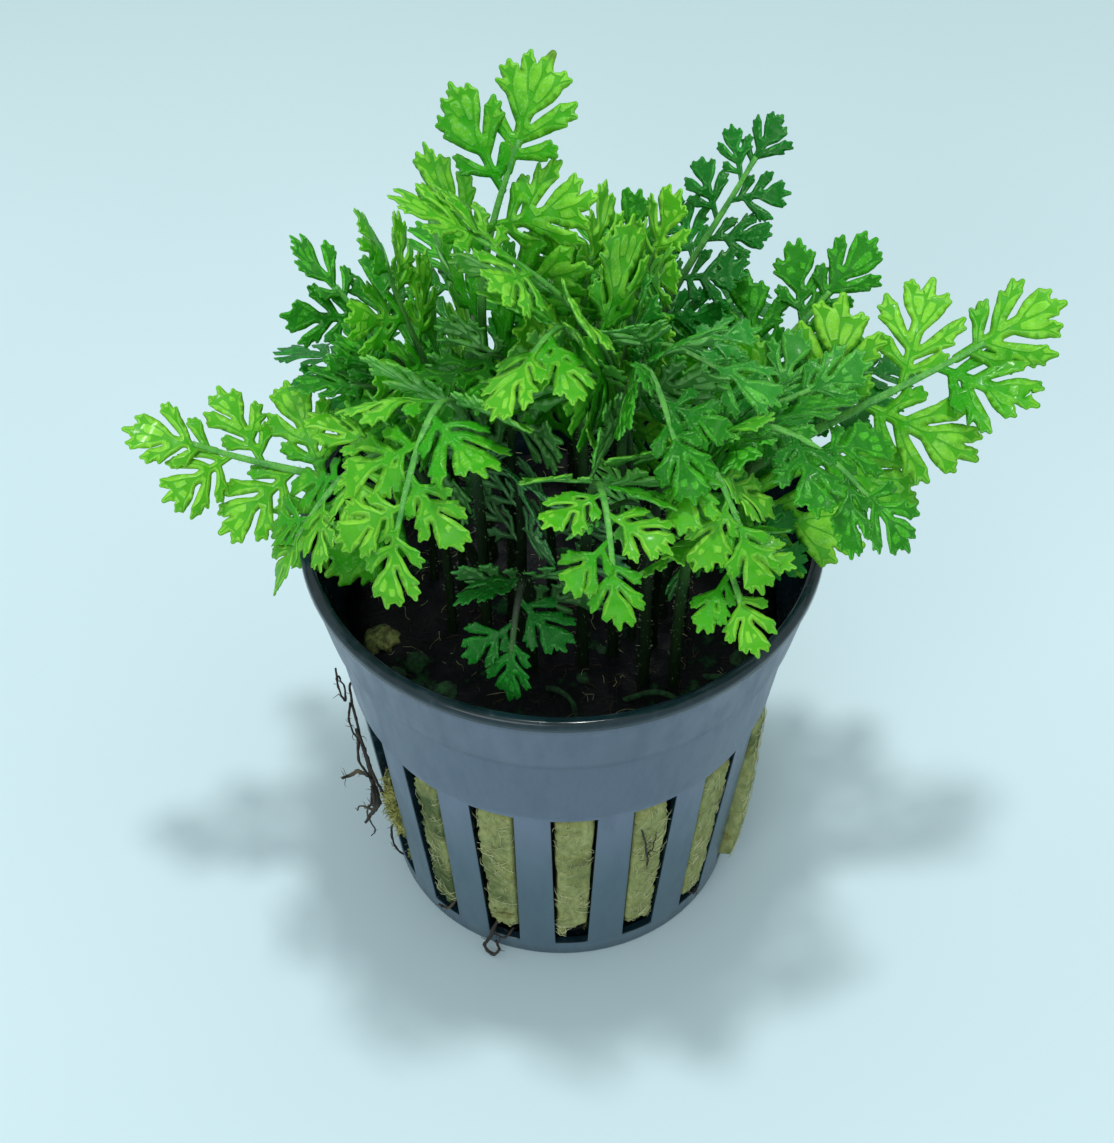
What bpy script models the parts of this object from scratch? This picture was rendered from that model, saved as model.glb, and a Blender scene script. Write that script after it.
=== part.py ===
"""A potted water plant with parsley-like fronds, in a slotted net pot packed with rock wool.

The frame's origin is the centre of the pot's underside, +Z up, and -Y is the side that faces the viewer.
Sizes in the constants and tables are millimetres, and MM turns them into Blender's metres.
"""

import itertools
import math
from collections import namedtuple

import bmesh
import bpy
import numpy as np
from mathutils import Matrix, Vector, noise
from mathutils.bvhtree import BVHTree

MM = 0.001
GAP = 0.35  # clearance between neighbouring pieces

# Pot: a thin moulded cone with a proud collar, a rolled lip and a ring of tall slots
POT_HEIGHT = 48.5
RIM_RADIUS = 26.0
BASE_RADIUS = 18.3
POT_WALL = 1.0
POT_FLOOR = 1.2
LIP_WIDTH = 1.3
LIP_DEPTH = 1.0
LIP_ROUNDING = 0.25
COLLAR_FOOT = 39.4
COLLAR_FOOT_RADIUS = 24.1
COLLAR_PROUD = 0.45
BAND_FOOT = 28.8
BAND_FOOT_RADIUS = 22.1
BAND_PROUD = 0.35
STEP_CHAMFER = 0.4
POT_SIDES = 48

SLOT_COUNT = 16
SLOT_PHASE = 3.2  # degrees from the front towards the right
SLOT_FOOT = 2.4
SLOT_TOP = 27.9
SLOT_FOOT_WIDTH = 3.4
SLOT_TOP_WIDTH = 4.7
SLOT_INNER_RADIUS = 15.0
SLOT_OUTER_RADIUS = 28.0

DRAIN_COUNT = 8
DRAIN_INNER_RADIUS = 6.0
DRAIN_OUTER_RADIUS = 14.5
DRAIN_WIDTH = 2.6
CUTTER_OVERSHOOT = 1.0

# Rock wool: a plug that fills the pot to well below the lip and bulges out of two slots
WOOL_TOP = 38.0
WOOL_LUMPS = 0.9  # height of the lumps on its top
WOOL_LUMP_PITCH = 5.5
WOOL_SHOULDER = 2.2  # how far its top edge is rounded off
WOOL_TOP_RINGS = (6.0, 12.0, 17.0)
WOOL_SHOULDER_RING = 20.5
WOOL_EDGE_RING = 21.5
WOOL_FOOT_ROUNDING = 2.5
WOOL_SIDES = 24
BULGE_SLOTS = (3, 4)
BULGE_PROUD = 1.4
BULGE_FOOT = 4.2
BULGE_TOP = 27.3
BULGE_DEPTH = 4.0  # from the pot's wall to the bulge's hidden end inside the plug

# The thickest root: out of a slot on the left, then down the outside of the wall to a free end
ROOT_RADIUS = 0.35
ROOT_SLOT = -4
ROOT_STEPS = 2  # straight pieces between two points of the course
# each point: degrees round from the root's slot, distance out from the wall, height
ROOT_COURSE = (
    (0, -0.5, 25.5),
    (1, 0.9, 25.4),
    (5, 1.0, 24.0),
    (11, 1.0, 21.5),
    (15, 1.0, 18.5),
    (16.5, 1.1, 15.5),
    (17, 1.1, 12.5),
    (15, 1.9, 10.0),
    (12, 3.0, 7.0),
)

# Fronds: a flat stalk that carries alternate three-lobed leaflets and one at its end
LEAF_THICKNESS = 0.7
STALK_WIDTH = 1.3
MIDRIB_WIDTH = 1.0
STALK_STATIONS = 4
STALK_FOOT_RISE = 1.1  # the stalks' feet over the wool's mean height, clear of its lumps
SHORTEST_STALK = 3.0
TIP_PULL = 0.4  # how much of the chord the tip's slope governs
CURVE_STEPS = 80
SLOPE_STEP = 0.5  # half the stretch of the curve from which its slope is read
LEAFLET_PITCH = 0.31  # spacing along the midrib as a share of the leaflet's length
LOWEST_ANGLE = 62.0
HIGHEST_ANGLE = 48.0
LEAFLET_TAPER = 0.28  # how much shorter the last leaflet is than the first
END_LEAFLET = 0.8  # the end leaflet's length, as a share of the longest
LEAFLET_CURL = 0.10
LEAFLET_TAPER_POWER = 1.3
LIFT_SWING = 12.0  # how far leaflets tilt in turn above and below the frond's plane, in degrees
LIFT_PHASE = 2.4  # radians from one leaflet's tilt to the next one's
FROND_LIFT_PHASE = 1.7  # and from one frond's to the next one's
CLEARING_TURNS = (0, 14, -14, 28, -28, 42, -42, 58, -58)
CLEARING_SWINGS = (0, -14, 14)
CLEARING_SIZES = (1.0, 0.85, 0.7, 0.55)
CHECK_START = 0.06  # the share of a leaflet that grows out of its stalk, where it isn't kept clear

# A leaflet's outline, as shares of its length along and across its axis
RIGHT_TIP = (0.80, -0.30)
RIGHT_NOTCH = (0.66, -0.10)
END_TIP = (1.00, 0.02)
LEFT_NOTCH = (0.66, 0.12)
LEFT_TIP = (0.78, 0.32)

Frond = namedtuple(
    "Frond", "name x y azimuth reach climb height pitch sway roll leaflets length tone"
)
# x and y: the stalk's foot on the wool. azimuth: degrees from +X towards +Y. reach: how far the tip
# leans out. climb: how far the stalk rises before it leans. height: the tip's, over the pot's underside.
# pitch: the tip's slope in degrees. sway: how far the stalk bows to its right. roll: how far the blade
# turns down to its right, in degrees. length: the longest leaflet's.
FRONDS = (
    Frond("frond_far_left", -8, -2, 176, 32, 18, 62, 45, 2, -35, 7, 10.0, "bright"),
    Frond("frond_left_low", -11, -5, 210, 18.2, 42, 55, -65, 0, 0, 7, 8.0, "bright"),
    Frond("frond_left_back", -7, 4, 160, 18, 25, 76, 60, -2, -15, 7, 9.5, "mid"),
    Frond("frond_top_left", -10, 1, 175, 7, 32, 86, 80, -1, -10, 7, 9.5, "bright"),
    Frond("frond_top", -4, -1.2, 58, 5, 38, 101, 65, -4, 0, 7, 12.5, "bright"),
    Frond("frond_near_top", 7, -6, 183, 20.5, 37, 95, 35, 0, 0, 7, 11.0, "bright"),
    Frond("frond_top_right", 3, -2, 80, 1, 30, 90, 75, -2, 0, 7, 10.0, "bright"),
    Frond("frond_upper_right", 5, 2, 20, 5, 28, 86, 75, 0, 0, 7, 9.5, "bright"),
    Frond("frond_back_middle", 2, 6, 60, 10, 24, 77, 60, 0, 0, 6, 9.0, "mid"),
    Frond("frond_back_right", 6, 6, 45, 20, 28, 82, 60, -2, 0, 8, 7.0, "dark"),
    Frond("frond_right_back", 9, 4, 22, 21, 24, 74, 55, 2, 30, 7, 10.0, "mid"),
    Frond("frond_far_right", 10, -3, 12, 36, 20, 73, 40, -1, 35, 7, 12.5, "bright"),
    Frond("frond_right", 7, 0, 5, 21, 26, 68, 30, 2, 15, 7, 9.5, "mid"),
    Frond("frond_right_low", 9, -7, 335, 23.6, 45, 63, -60, 0, 0, 7, 9.5, "mid"),
    Frond("frond_silver", 6, -4, 332, 14, 44, 75, -15, 0, 0, 7, 10.0, "mid"),
    Frond("frond_centre_right", 5, -8, 294, 14.5, 50, 74, -50, 0, 0, 6, 9.0, "mid"),
    Frond("frond_centre_left", 2, -6, 240, 15, 40, 81, -30, 0, 0, 7, 9.5, "bright"),
    Frond("frond_pale", 8, -12, 222, 11, 28, 66, -5, 0, 0, 5, 6.0, "bright"),
    Frond("frond_mid_right", 8, -9, 300, 17.8, 44, 66, -60, 0, 0, 6, 8.5, "bright"),
    Frond("frond_front_left", -7.5, -6.5, 248, 20.8, 56, 66, -70, 0, 0, 7, 9.0, "bright"),
    Frond("frond_left", -13, 2, 196, 12, 28, 68, 15, 0, 0, 6, 9.0, "mid"),
    Frond("frond_left_middle", -5, -3, 215, 10, 40, 72, -20, 0, 0, 6, 9.0, "mid"),
    Frond("frond_front_centre", 2, -10, 278, 18.5, 39, 66, -70, 0, 0, 6, 7.5, "bright"),
    Frond("frond_front_right", 11, -12, 290, 16.5, 31, 61, -50, 0, 0, 5, 7.5, "bright"),
    Frond("frond_front_hanging", -3, -10, 258, 10, 27, 46, -80, 0, 0, 6, 7.5, "dark"),
    Frond("frond_centre_low_left", -4, -6, 225, 7, 22, 69, 45, 0, 0, 6, 8.0, "dark"),
    Frond("frond_centre_low", -1, -8, 255, 5, 20, 66, 60, 0, 0, 5, 7.5, "dark"),
    Frond("frond_rim_right", 12, -5, 340, 11.5, 22, 51, -20, 0, 0, 6, 6.5, "dark"),
    Frond("frond_back_left", -5, 7, 116, 20, 26, 66, 30, 0, 0, 5, 9.0, "mid"),
    Frond("frond_back", 1, 9, 82, 22, 28, 62, 15, 0, 0, 5, 9.0, "mid"),
    Frond("frond_back_low_right", 6, 10, 50, 23, 26, 56, 0, 0, 0, 4, 9.0, "dark"),
    Frond("frond_back_low_left", -8, 7, 151, 23, 26, 56, 5, 0, 0, 4, 9.0, "dark"),
    Frond("frond_right_back_low", 11, 5, 20, 26, 26, 56, -10, 0, 0, 4, 9.0, "dark"),
)

COLOURS = {
    "pot": ((0.108, 0.159, 0.216, 1), 0.35),
    "rock_wool": ((0.270, 0.270, 0.090, 1), 0.95),
    "root": ((0.060, 0.028, 0.010, 1), 0.8),
    "bright": ((0.115, 0.539, 0.010, 1), 0.45),
    "mid": ((0.028, 0.323, 0.023, 1), 0.45),
    "dark": ((0.006, 0.102, 0.023, 1), 0.5),
}


def clear_scene():
    for obj in list(bpy.data.objects):
        bpy.data.objects.remove(obj)


def new_collection(name):
    collection = bpy.data.collections.new(name)
    bpy.context.scene.collection.children.link(collection)
    return collection


def make_material(name, tone):
    """A plain Principled BSDF in the tone's colour and roughness."""
    material = bpy.data.materials.new(name)
    material.use_nodes = True
    shader = material.node_tree.nodes["Principled BSDF"]
    colour, roughness = COLOURS[tone]
    shader.inputs["Base Color"].default_value = colour
    shader.inputs["Roughness"].default_value = roughness
    shader.inputs["Metallic"].default_value = 0.0
    return material


def add_object(name, mesh, collection, tone=None):
    obj = bpy.data.objects.new(name, mesh)
    collection.objects.link(obj)
    if tone:
        mesh.materials.append(make_material(name, tone))
    return obj


def as_cutter(obj):
    obj.hide_render = True
    obj.display_type = "WIRE"
    return obj


def turned(name, profile, sides, collection, tone):
    """A profile of (radius, height) pairs in millimetres, turned about Z by a Screw modifier."""
    mesh = bpy.data.meshes.new(name)
    points = [(radius * MM, 0, height * MM) for radius, height in profile]
    mesh.from_pydata(points, [(i, i + 1) for i in range(len(points) - 1)], [])
    obj = add_object(name, mesh, collection, tone)
    screw = obj.modifiers.new("turn", "SCREW")
    screw.axis = "Z"
    screw.steps = screw.render_steps = sides
    screw.use_merge_vertices = True
    screw.merge_threshold = 0.00001
    return obj


def baked(obj, collection, tone):
    """The object's evaluated mesh as a plain mesh object that takes its name."""
    name = obj.name
    graph = bpy.context.evaluated_depsgraph_get()
    mesh = bpy.data.meshes.new_from_object(obj.evaluated_get(graph))
    bpy.data.objects.remove(obj)
    mesh.materials.clear()
    return add_object(name, mesh, collection, tone)


def add_block(bm, corner_of, turn):
    """A unit cube in bm with its corners moved by corner_of, then turned about Z by turn."""
    made = bmesh.ops.create_cube(bm, size=1)["verts"]
    for vert in made:
        vert.co = turn @ Vector(corner_of(vert.co))


def wall_radius(height):
    """The pot's outer radius at a height, in millimetres, where the slots are."""
    return BASE_RADIUS + (BAND_FOOT_RADIUS - BAND_PROUD - BASE_RADIUS) * height / BAND_FOOT


def slot_turn(index):
    """The rotation from +X to the middle of a slot, counted from the front one to the right."""
    angle = -90 + SLOT_PHASE + index * 360 / SLOT_COUNT
    return Matrix.Rotation(math.radians(angle), 3, "Z")


def slot_corner(inner, outer, heights, widths):
    """Maps a unit cube's corner to a block whose radii and width differ between its foot and its top."""

    def corner(co):
        end = 1 if co.z > 0 else 0
        radius = outer[end] if co.x > 0 else inner[end]
        return radius * MM, co.y * widths[end] * MM, heights[end] * MM

    return corner


def make_cutters(collection):
    """One mesh with a tapered block for each wall slot and a bar for each drain in the floor."""
    bm = bmesh.new()
    slot = slot_corner(
        (SLOT_INNER_RADIUS, SLOT_INNER_RADIUS),
        (SLOT_OUTER_RADIUS, SLOT_OUTER_RADIUS),
        (SLOT_FOOT, SLOT_TOP),
        (SLOT_FOOT_WIDTH, SLOT_TOP_WIDTH),
    )
    for index in range(SLOT_COUNT):
        add_block(bm, slot, slot_turn(index))
    drain = slot_corner(
        (DRAIN_INNER_RADIUS, DRAIN_INNER_RADIUS),
        (DRAIN_OUTER_RADIUS, DRAIN_OUTER_RADIUS),
        (-CUTTER_OVERSHOOT, POT_FLOOR + CUTTER_OVERSHOOT),
        (DRAIN_WIDTH, DRAIN_WIDTH),
    )
    for index in range(DRAIN_COUNT):
        turn = Matrix.Rotation(math.radians(index * 360 / DRAIN_COUNT), 3, "Z")
        add_block(bm, drain, turn)
    mesh = bpy.data.meshes.new("slots")
    bm.to_mesh(mesh)
    bm.free()
    return as_cutter(add_object("slots", mesh, collection))


def cut(obj, tool, operation="DIFFERENCE"):
    boolean = obj.modifiers.new(operation.lower(), "BOOLEAN")
    boolean.operation = operation
    boolean.solver = "EXACT"
    boolean.object = tool


def make_pot(parts, cutters):
    """Floor, slotted lower wall, plain band, proud collar and lip, in one turned wall."""
    collar_top = POT_HEIGHT - LIP_DEPTH
    lip_inner = RIM_RADIUS - LIP_WIDTH
    band_top_radius = COLLAR_FOOT_RADIUS - COLLAR_PROUD
    profile = [
        (0, POT_FLOOR),
        (BASE_RADIUS - POT_WALL, POT_FLOOR),
        (wall_radius(BAND_FOOT) - POT_WALL, BAND_FOOT),
        (band_top_radius - POT_WALL, COLLAR_FOOT),
        (lip_inner, collar_top),
        (lip_inner + LIP_ROUNDING, POT_HEIGHT),
        (RIM_RADIUS - LIP_ROUNDING, POT_HEIGHT),
        (RIM_RADIUS, POT_HEIGHT - LIP_ROUNDING),
        (RIM_RADIUS, collar_top),
        (COLLAR_FOOT_RADIUS, COLLAR_FOOT),
        (band_top_radius, COLLAR_FOOT - STEP_CHAMFER),
        (BAND_FOOT_RADIUS, BAND_FOOT + STEP_CHAMFER),
        (wall_radius(BAND_FOOT), BAND_FOOT),
        (BASE_RADIUS, 0),
        (0, 0),
    ]
    pot = turned("pot", profile, POT_SIDES, parts, "pot")
    cut(pot, make_cutters(cutters))
    return baked(pot, parts, "pot")


def make_wool(parts, cutters):
    """A plug a gap inside the wall, with a rough top, grown out through the two bulging slots."""
    inset = POT_WALL + GAP
    foot = POT_FLOOR + GAP
    profile = [
        (0, WOOL_TOP),
        *((radius, WOOL_TOP) for radius in WOOL_TOP_RINGS),
        (WOOL_SHOULDER_RING, WOOL_TOP - WOOL_SHOULDER / 3),
        (WOOL_EDGE_RING, WOOL_TOP - WOOL_SHOULDER),
        (wall_radius(BAND_FOOT) - inset, BAND_FOOT),
        (wall_radius(foot + WOOL_FOOT_ROUNDING) - inset, foot + WOOL_FOOT_ROUNDING),
        (wall_radius(foot) - inset - WOOL_FOOT_ROUNDING / 2, foot),
        (0, foot),
    ]
    wool = baked(turned("rock_wool", profile, WOOL_SIDES, parts, "rock_wool"), parts, "rock_wool")
    for vert in wool.data.vertices:
        if vert.co.z > (WOOL_TOP - WOOL_SHOULDER / 2) * MM:
            vert.co.z += WOOL_LUMPS * MM * noise.noise(vert.co / (WOOL_LUMP_PITCH * MM))
    walls = [wall_radius(BULGE_FOOT), wall_radius(BULGE_TOP)]
    bulge = slot_corner(
        [radius - BULGE_DEPTH for radius in walls],
        [radius + BULGE_PROUD for radius in walls],
        (BULGE_FOOT, BULGE_TOP),
        (SLOT_FOOT_WIDTH - 2 * GAP, SLOT_TOP_WIDTH - 2 * GAP),
    )
    bm = bmesh.new()
    for index in BULGE_SLOTS:
        add_block(bm, bulge, slot_turn(index))
    mesh = bpy.data.meshes.new("bulges")
    bm.to_mesh(mesh)
    bm.free()
    bulges = as_cutter(add_object("bulges", mesh, cutters))
    cut(wool, bulges, "UNION")
    return baked(wool, parts, "rock_wool")


def smooth_course(points, steps):
    """A Catmull-Rom curve through the points, with the same number of steps in every stretch."""
    ends = [2 * points[0] - points[1]] + points + [2 * points[-1] - points[-2]]
    course = []
    for before, start, end, after in zip(ends, ends[1:], ends[2:], ends[3:]):
        for step in range(steps):
            t = step / steps
            second = 2 * before - 5 * start + 4 * end - after
            third = 3 * start - before - 3 * end + after
            course.append(start + (end - before + second * t + third * t * t) * (t / 2))
    return course + [points[-1]]


def make_root(parts):
    """A thin tube along the root's course down the outside of the pot."""
    points = []
    for turn, proud, height in ROOT_COURSE:
        radius = wall_radius(height) + proud
        spin = Matrix.Rotation(math.radians(turn), 3, "Z")
        points.append(slot_turn(ROOT_SLOT) @ spin @ Vector((radius, 0, height)) * MM)
    curve = bpy.data.curves.new("root", "CURVE")
    curve.dimensions = "3D"
    curve.bevel_depth = ROOT_RADIUS * MM
    curve.bevel_resolution = 1
    curve.use_fill_caps = True
    course = smooth_course(points, ROOT_STEPS)
    spline = curve.splines.new("POLY")
    spline.points.add(len(course) - 1)
    for point, place in zip(spline.points, course):
        point.co = (*place, 1)
    return add_object("root", curve, parts, "root")


class Midrib:
    """A frond's stalk and midrib: a curve in the upright plane through its foot and its tip."""

    def __init__(self, frond):
        heading = math.radians(frond.azimuth)
        self.out = np.array([math.cos(heading), math.sin(heading), 0.0])
        self.side = np.array([math.sin(heading), -math.cos(heading), 0.0])
        up = np.array([0.0, 0.0, 1.0])
        foot = np.array([frond.x, frond.y, WOOL_TOP + STALK_FOOT_RISE])
        tip = np.array([frond.x, frond.y, frond.height]) + self.out * frond.reach
        rise = tip[2] - foot[2]
        chord = math.hypot(rise, frond.reach)
        pitch = math.radians(frond.pitch)
        bow = self.side * frond.sway
        low = foot + up * frond.climb + bow
        high = tip - TIP_PULL * chord * (self.out * math.cos(pitch) + up * math.sin(pitch)) + bow
        share = np.linspace(0, 1, CURVE_STEPS + 1)[:, None]
        rest = 1 - share
        self.roll = math.radians(frond.roll)
        self.points = rest**3 * foot + 3 * rest**2 * share * low + 3 * rest * share**2 * high + share**3 * tip
        steps = np.linalg.norm(np.diff(self.points, axis=0), axis=1)
        self.lengths = np.concatenate([[0], np.cumsum(steps)])
        self.length = self.lengths[-1]

    def at(self, distance):
        """The point, the way along, the way across and the upper side at a distance from the foot."""
        point = np.array([np.interp(distance, self.lengths, self.points[:, i]) for i in range(3)])
        ends = [
            np.array([np.interp(distance + step, self.lengths, self.points[:, i]) for i in range(3)])
            for step in (-SLOPE_STEP, SLOPE_STEP)
        ]
        along = ends[1] - ends[0]
        along /= np.linalg.norm(along)
        level = self.side - along * (self.side @ along)
        level /= np.linalg.norm(level)
        across = math.cos(self.roll) * level - math.sin(self.roll) * np.cross(level, along)
        return point, along, across, np.cross(across, along)


def leaflet_points(midrib, distance, side, angle, lift, length):
    """The five outline points of a leaflet beyond its base, in the frond's own place."""
    point, along, across, upper = midrib.at(distance)
    angle = math.radians(angle)
    lift = math.radians(lift)
    outward = math.cos(lift) * side * across + math.sin(lift) * upper
    face = math.cos(lift) * upper - math.sin(lift) * side * across
    axis = math.cos(angle) * along + math.sin(angle) * outward
    width = np.cross(face, axis)
    points = []
    for run, off in (RIGHT_TIP, RIGHT_NOTCH, END_TIP, LEFT_NOTCH, LEFT_TIP):
        drop = LEAFLET_CURL * run * run
        points.append(point + length * (run * axis + off * width - drop * face))
    return points


def leaflet_faces(base_right, base_left, first):
    """The triangles of a leaflet whose five outline points start at index first."""
    right_tip, right_notch, end_tip, left_notch, left_tip = range(first, first + 5)
    return [
        (base_right, right_tip, right_notch),
        (base_right, right_notch, base_left),
        (base_left, right_notch, left_notch),
        (right_notch, end_tip, left_notch),
        (base_left, left_notch, left_tip),
    ]


def thick_tree(points, faces, margin):
    """A search tree over a sheet given the leaf's thickness and a margin on every side."""
    points = np.array(points)
    offsets = np.zeros_like(points)
    for face in faces:
        a, b, c = points[face[0]], points[face[1]], points[face[2]]
        normal = np.cross(b - a, c - a)
        for corner in face:
            offsets[corner] += normal / (np.linalg.norm(normal) + 1e-9)
    offsets /= np.linalg.norm(offsets, axis=1)[:, None] + 1e-9
    half = LEAF_THICKNESS / 2 + margin
    both = np.concatenate([points + offsets * half, points - offsets * half])
    count = len(points)
    edges = {}
    for face in faces:
        for a, b in zip(face, face[1:] + face[:1]):
            edges[tuple(sorted((a, b)))] = edges.get(tuple(sorted((a, b))), 0) + 1
    rims = [(a, b, b + count, a + count) for (a, b), uses in edges.items() if uses == 1]
    shell = list(faces) + [tuple(i + count for i in face) for face in faces] + rims
    low, high = both.min(axis=0), both.max(axis=0)
    return low, high, BVHTree.FromPolygons([tuple(p) for p in both], shell)


def touches(tree, others):
    low, high, own = tree
    for other_low, other_high, other in others:
        apart = (low > other_high).any() or (high < other_low).any()
        if not apart and own.overlap(other):
            return True
    return False


class Sheet:
    """A frond as an open sheet: its stalk and midrib as a ribbon, then its leaflets."""

    def __init__(self, frond, index):
        self.frond = frond
        self.index = index
        self.midrib = Midrib(frond)
        self.spacing = LEAFLET_PITCH * frond.length
        self.end_length = END_LEAFLET * frond.length
        blade = self.spacing * frond.leaflets
        self.blade_start = max(self.midrib.length - blade - self.end_length, SHORTEST_STALK)
        self.points = []
        self.faces = []
        self.add_ribbon()

    def stations(self):
        stalk = np.linspace(0, self.blade_start, STALK_STATIONS)
        blade = self.blade_start + self.spacing * np.arange(1, self.frond.leaflets + 1)
        return np.concatenate([stalk, blade])

    def add_ribbon(self):
        for distance in self.stations():
            point, along, across, upper = self.midrib.at(distance)
            late = min(1.0, distance / self.midrib.length)
            half = (STALK_WIDTH + (MIDRIB_WIDTH - STALK_WIDTH) * late) / 2
            self.points += [point - across * half, point + across * half]
        for i in range(len(self.points) // 2 - 1):
            left, right, next_left, next_right = 2 * i, 2 * i + 1, 2 * i + 2, 2 * i + 3
            self.faces += [(left, right, next_right), (left, next_right, next_left)]

    def grow(self, base_right, base_left, settings, others):
        """Adds a leaflet, turned about its stalk until it is clear of the others."""
        distance, side, angle, lift, length = settings
        bases = [self.points[base_right], self.points[base_left]]
        for size, swing, turn in itertools.product(CLEARING_SIZES, CLEARING_SWINGS, CLEARING_TURNS):
            tips = leaflet_points(self.midrib, distance, side, angle + swing, lift + turn, size * length)
            necks = [base + CHECK_START * (tips[2] - base) for base in bases]
            tree = thick_tree(necks + tips, leaflet_faces(0, 1, 2), GAP / 2)
            if not touches(tree, others):
                self.faces += leaflet_faces(base_right, base_left, len(self.points))
                self.points += tips
                others.append(tree)
                return True
        return False

    def add_leaflets(self, others):
        frond = self.frond
        missing = 0
        for k in range(frond.leaflets):
            share = k / max(1, frond.leaflets - 1)
            side = 1 if (k + self.index) % 2 else -1
            angle = LOWEST_ANGLE + (HIGHEST_ANGLE - LOWEST_ANGLE) * share
            lift = LIFT_SWING * math.sin(LIFT_PHASE * k + FROND_LIFT_PHASE * self.index)
            length = frond.length * (1 - LEAFLET_TAPER * share**LEAFLET_TAPER_POWER)
            low = 2 * (STALK_STATIONS - 1 + k) + (1 if side > 0 else 0)
            high = low + 2
            base_right, base_left = (low, high) if side > 0 else (high, low)
            distance = self.blade_start + self.spacing * (k + 0.5)
            settings = (distance, side, angle, lift, length)
            missing += not self.grow(base_right, base_left, settings, others)
        last = len(self.stations()) * 2 - 2
        end = (self.midrib.length - self.end_length, 1, 0, 0, self.end_length)
        missing += not self.grow(last + 1, last, end, others)
        return missing


def make_fronds(parts, solids):
    """All stalks first, then the leaflets, each placed clear of all that is there."""
    sheets = [Sheet(frond, index) for index, frond in enumerate(FRONDS)]
    ribbons = [thick_tree(sheet.points, sheet.faces, GAP / 2) for sheet in sheets]
    leaflets = []
    missing = 0
    for sheet in sheets:
        others = solids + [tree for i, tree in enumerate(ribbons) if i != sheet.index] + leaflets
        before = len(others)
        missing += sheet.add_leaflets(others)
        leaflets += others[before:]
        mesh = bpy.data.meshes.new(sheet.frond.name)
        mesh.from_pydata([tuple(p * MM) for p in sheet.points], [], sheet.faces)
        obj = add_object(sheet.frond.name, mesh, parts, sheet.frond.tone)
        solidify = obj.modifiers.new("thickness", "SOLIDIFY")
        solidify.thickness = LEAF_THICKNESS * MM
        solidify.offset = 0
        solidify.use_rim = True
    print("leaflets left out for want of room:", missing)


def solid_tree(obj):
    """A search tree over an object's mesh, in millimetres."""
    points = [tuple(vert.co / MM) for vert in obj.data.vertices]
    faces = [tuple(face.vertices) for face in obj.data.polygons]
    spots = np.array(points)
    return spots.min(axis=0), spots.max(axis=0), BVHTree.FromPolygons(points, faces)


def main():
    clear_scene()
    parts = new_collection("potted african water fern")
    cutters = new_collection("cutters")
    pot = make_pot(parts, cutters)
    wool = make_wool(parts, cutters)
    make_root(parts)
    make_fronds(parts, [solid_tree(pot), solid_tree(wool)])
    for obj in (pot, wool):
        obj.data.shade_smooth()
        obj.data.set_sharp_from_angle(angle=math.radians(30))


main()
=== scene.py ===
"""The looks of a potted african water fern: fronds, net pot, rock wool, roots and a plain stage."""

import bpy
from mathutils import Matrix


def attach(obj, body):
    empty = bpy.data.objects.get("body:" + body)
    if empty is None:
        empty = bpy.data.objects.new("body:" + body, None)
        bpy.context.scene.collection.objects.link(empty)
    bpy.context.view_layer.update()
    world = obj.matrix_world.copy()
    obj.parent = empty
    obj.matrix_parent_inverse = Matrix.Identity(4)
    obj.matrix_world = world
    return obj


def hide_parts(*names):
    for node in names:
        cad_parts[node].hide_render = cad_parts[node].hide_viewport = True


bl_info = {
    "name": "Potted African Water Fern",
    "version": (1, 0, 0),
    "blender": (4, 5, 0),
    "location": "View3D > Sidebar > Water Fern",
    "description": "Builds a potted water fern's fronds, net pot, rock wool, roots and stage",
    "category": "Add Mesh",
}

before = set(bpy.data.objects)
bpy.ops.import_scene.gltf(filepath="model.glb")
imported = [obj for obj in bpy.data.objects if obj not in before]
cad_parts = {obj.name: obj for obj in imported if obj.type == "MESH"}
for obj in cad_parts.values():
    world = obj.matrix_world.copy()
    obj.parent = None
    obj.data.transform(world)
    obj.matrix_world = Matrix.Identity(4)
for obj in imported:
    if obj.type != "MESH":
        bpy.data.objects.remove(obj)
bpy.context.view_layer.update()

import itertools
import math
from collections import namedtuple

import bpy
import numpy as np
from mathutils import Matrix, Vector, geometry, kdtree, noise

MM = 0.001
UP = np.array([0.0, 0.0, 1.0])

# The pot's sizes, in millimetres, as its solid has them
POT_HEIGHT = 48.5
RIM_RADIUS = 26.0
BASE_RADIUS = 18.3
POT_WALL = 1.0
POT_FLOOR = 1.2
LIP_WIDTH = 1.3
LIP_DEPTH = 1.0
COLLAR_FOOT = 39.4
COLLAR_FOOT_RADIUS = 24.1
COLLAR_PROUD = 0.45
BAND_FOOT = 28.8
BAND_FOOT_RADIUS = 22.1
BAND_PROUD = 0.35
STEP_CHAMFER = 0.4
SLOT_COUNT = 16
SLOT_PHASE = 3.2
SLOT_FOOT = 2.4
SLOT_TOP = 27.9
SLOT_FOOT_WIDTH = 3.4
SLOT_TOP_WIDTH = 4.7
DRAIN_COUNT = 8
DRAIN_INNER_RADIUS = 6.0
DRAIN_OUTER_RADIUS = 14.5
DRAIN_WIDTH = 2.6
DRAIN_COLUMNS = 10  # mesh columns of the floor that each drain spans

# The places of the materials in the lists of the pot, of the wool and of each frond
MATT, DARK_LIP_AND_SHADE = range(2)
FELT, SHADED_WET_TOP, STONE_FIBRE, ROOT_HAIR, TUFT, MOSS, CRUMB = range(7)
BLADE, STALK, HAIR = range(3)

WOOL_TOP = 38.0
WOOL_LUMPS = 0.9
WOOL_LUMP_PITCH = 5.5
WOOL_FOOT = 1.55
WOOL_EDGE_DROP = 2.2
BULGE_SLOTS = (3, 4)
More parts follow.
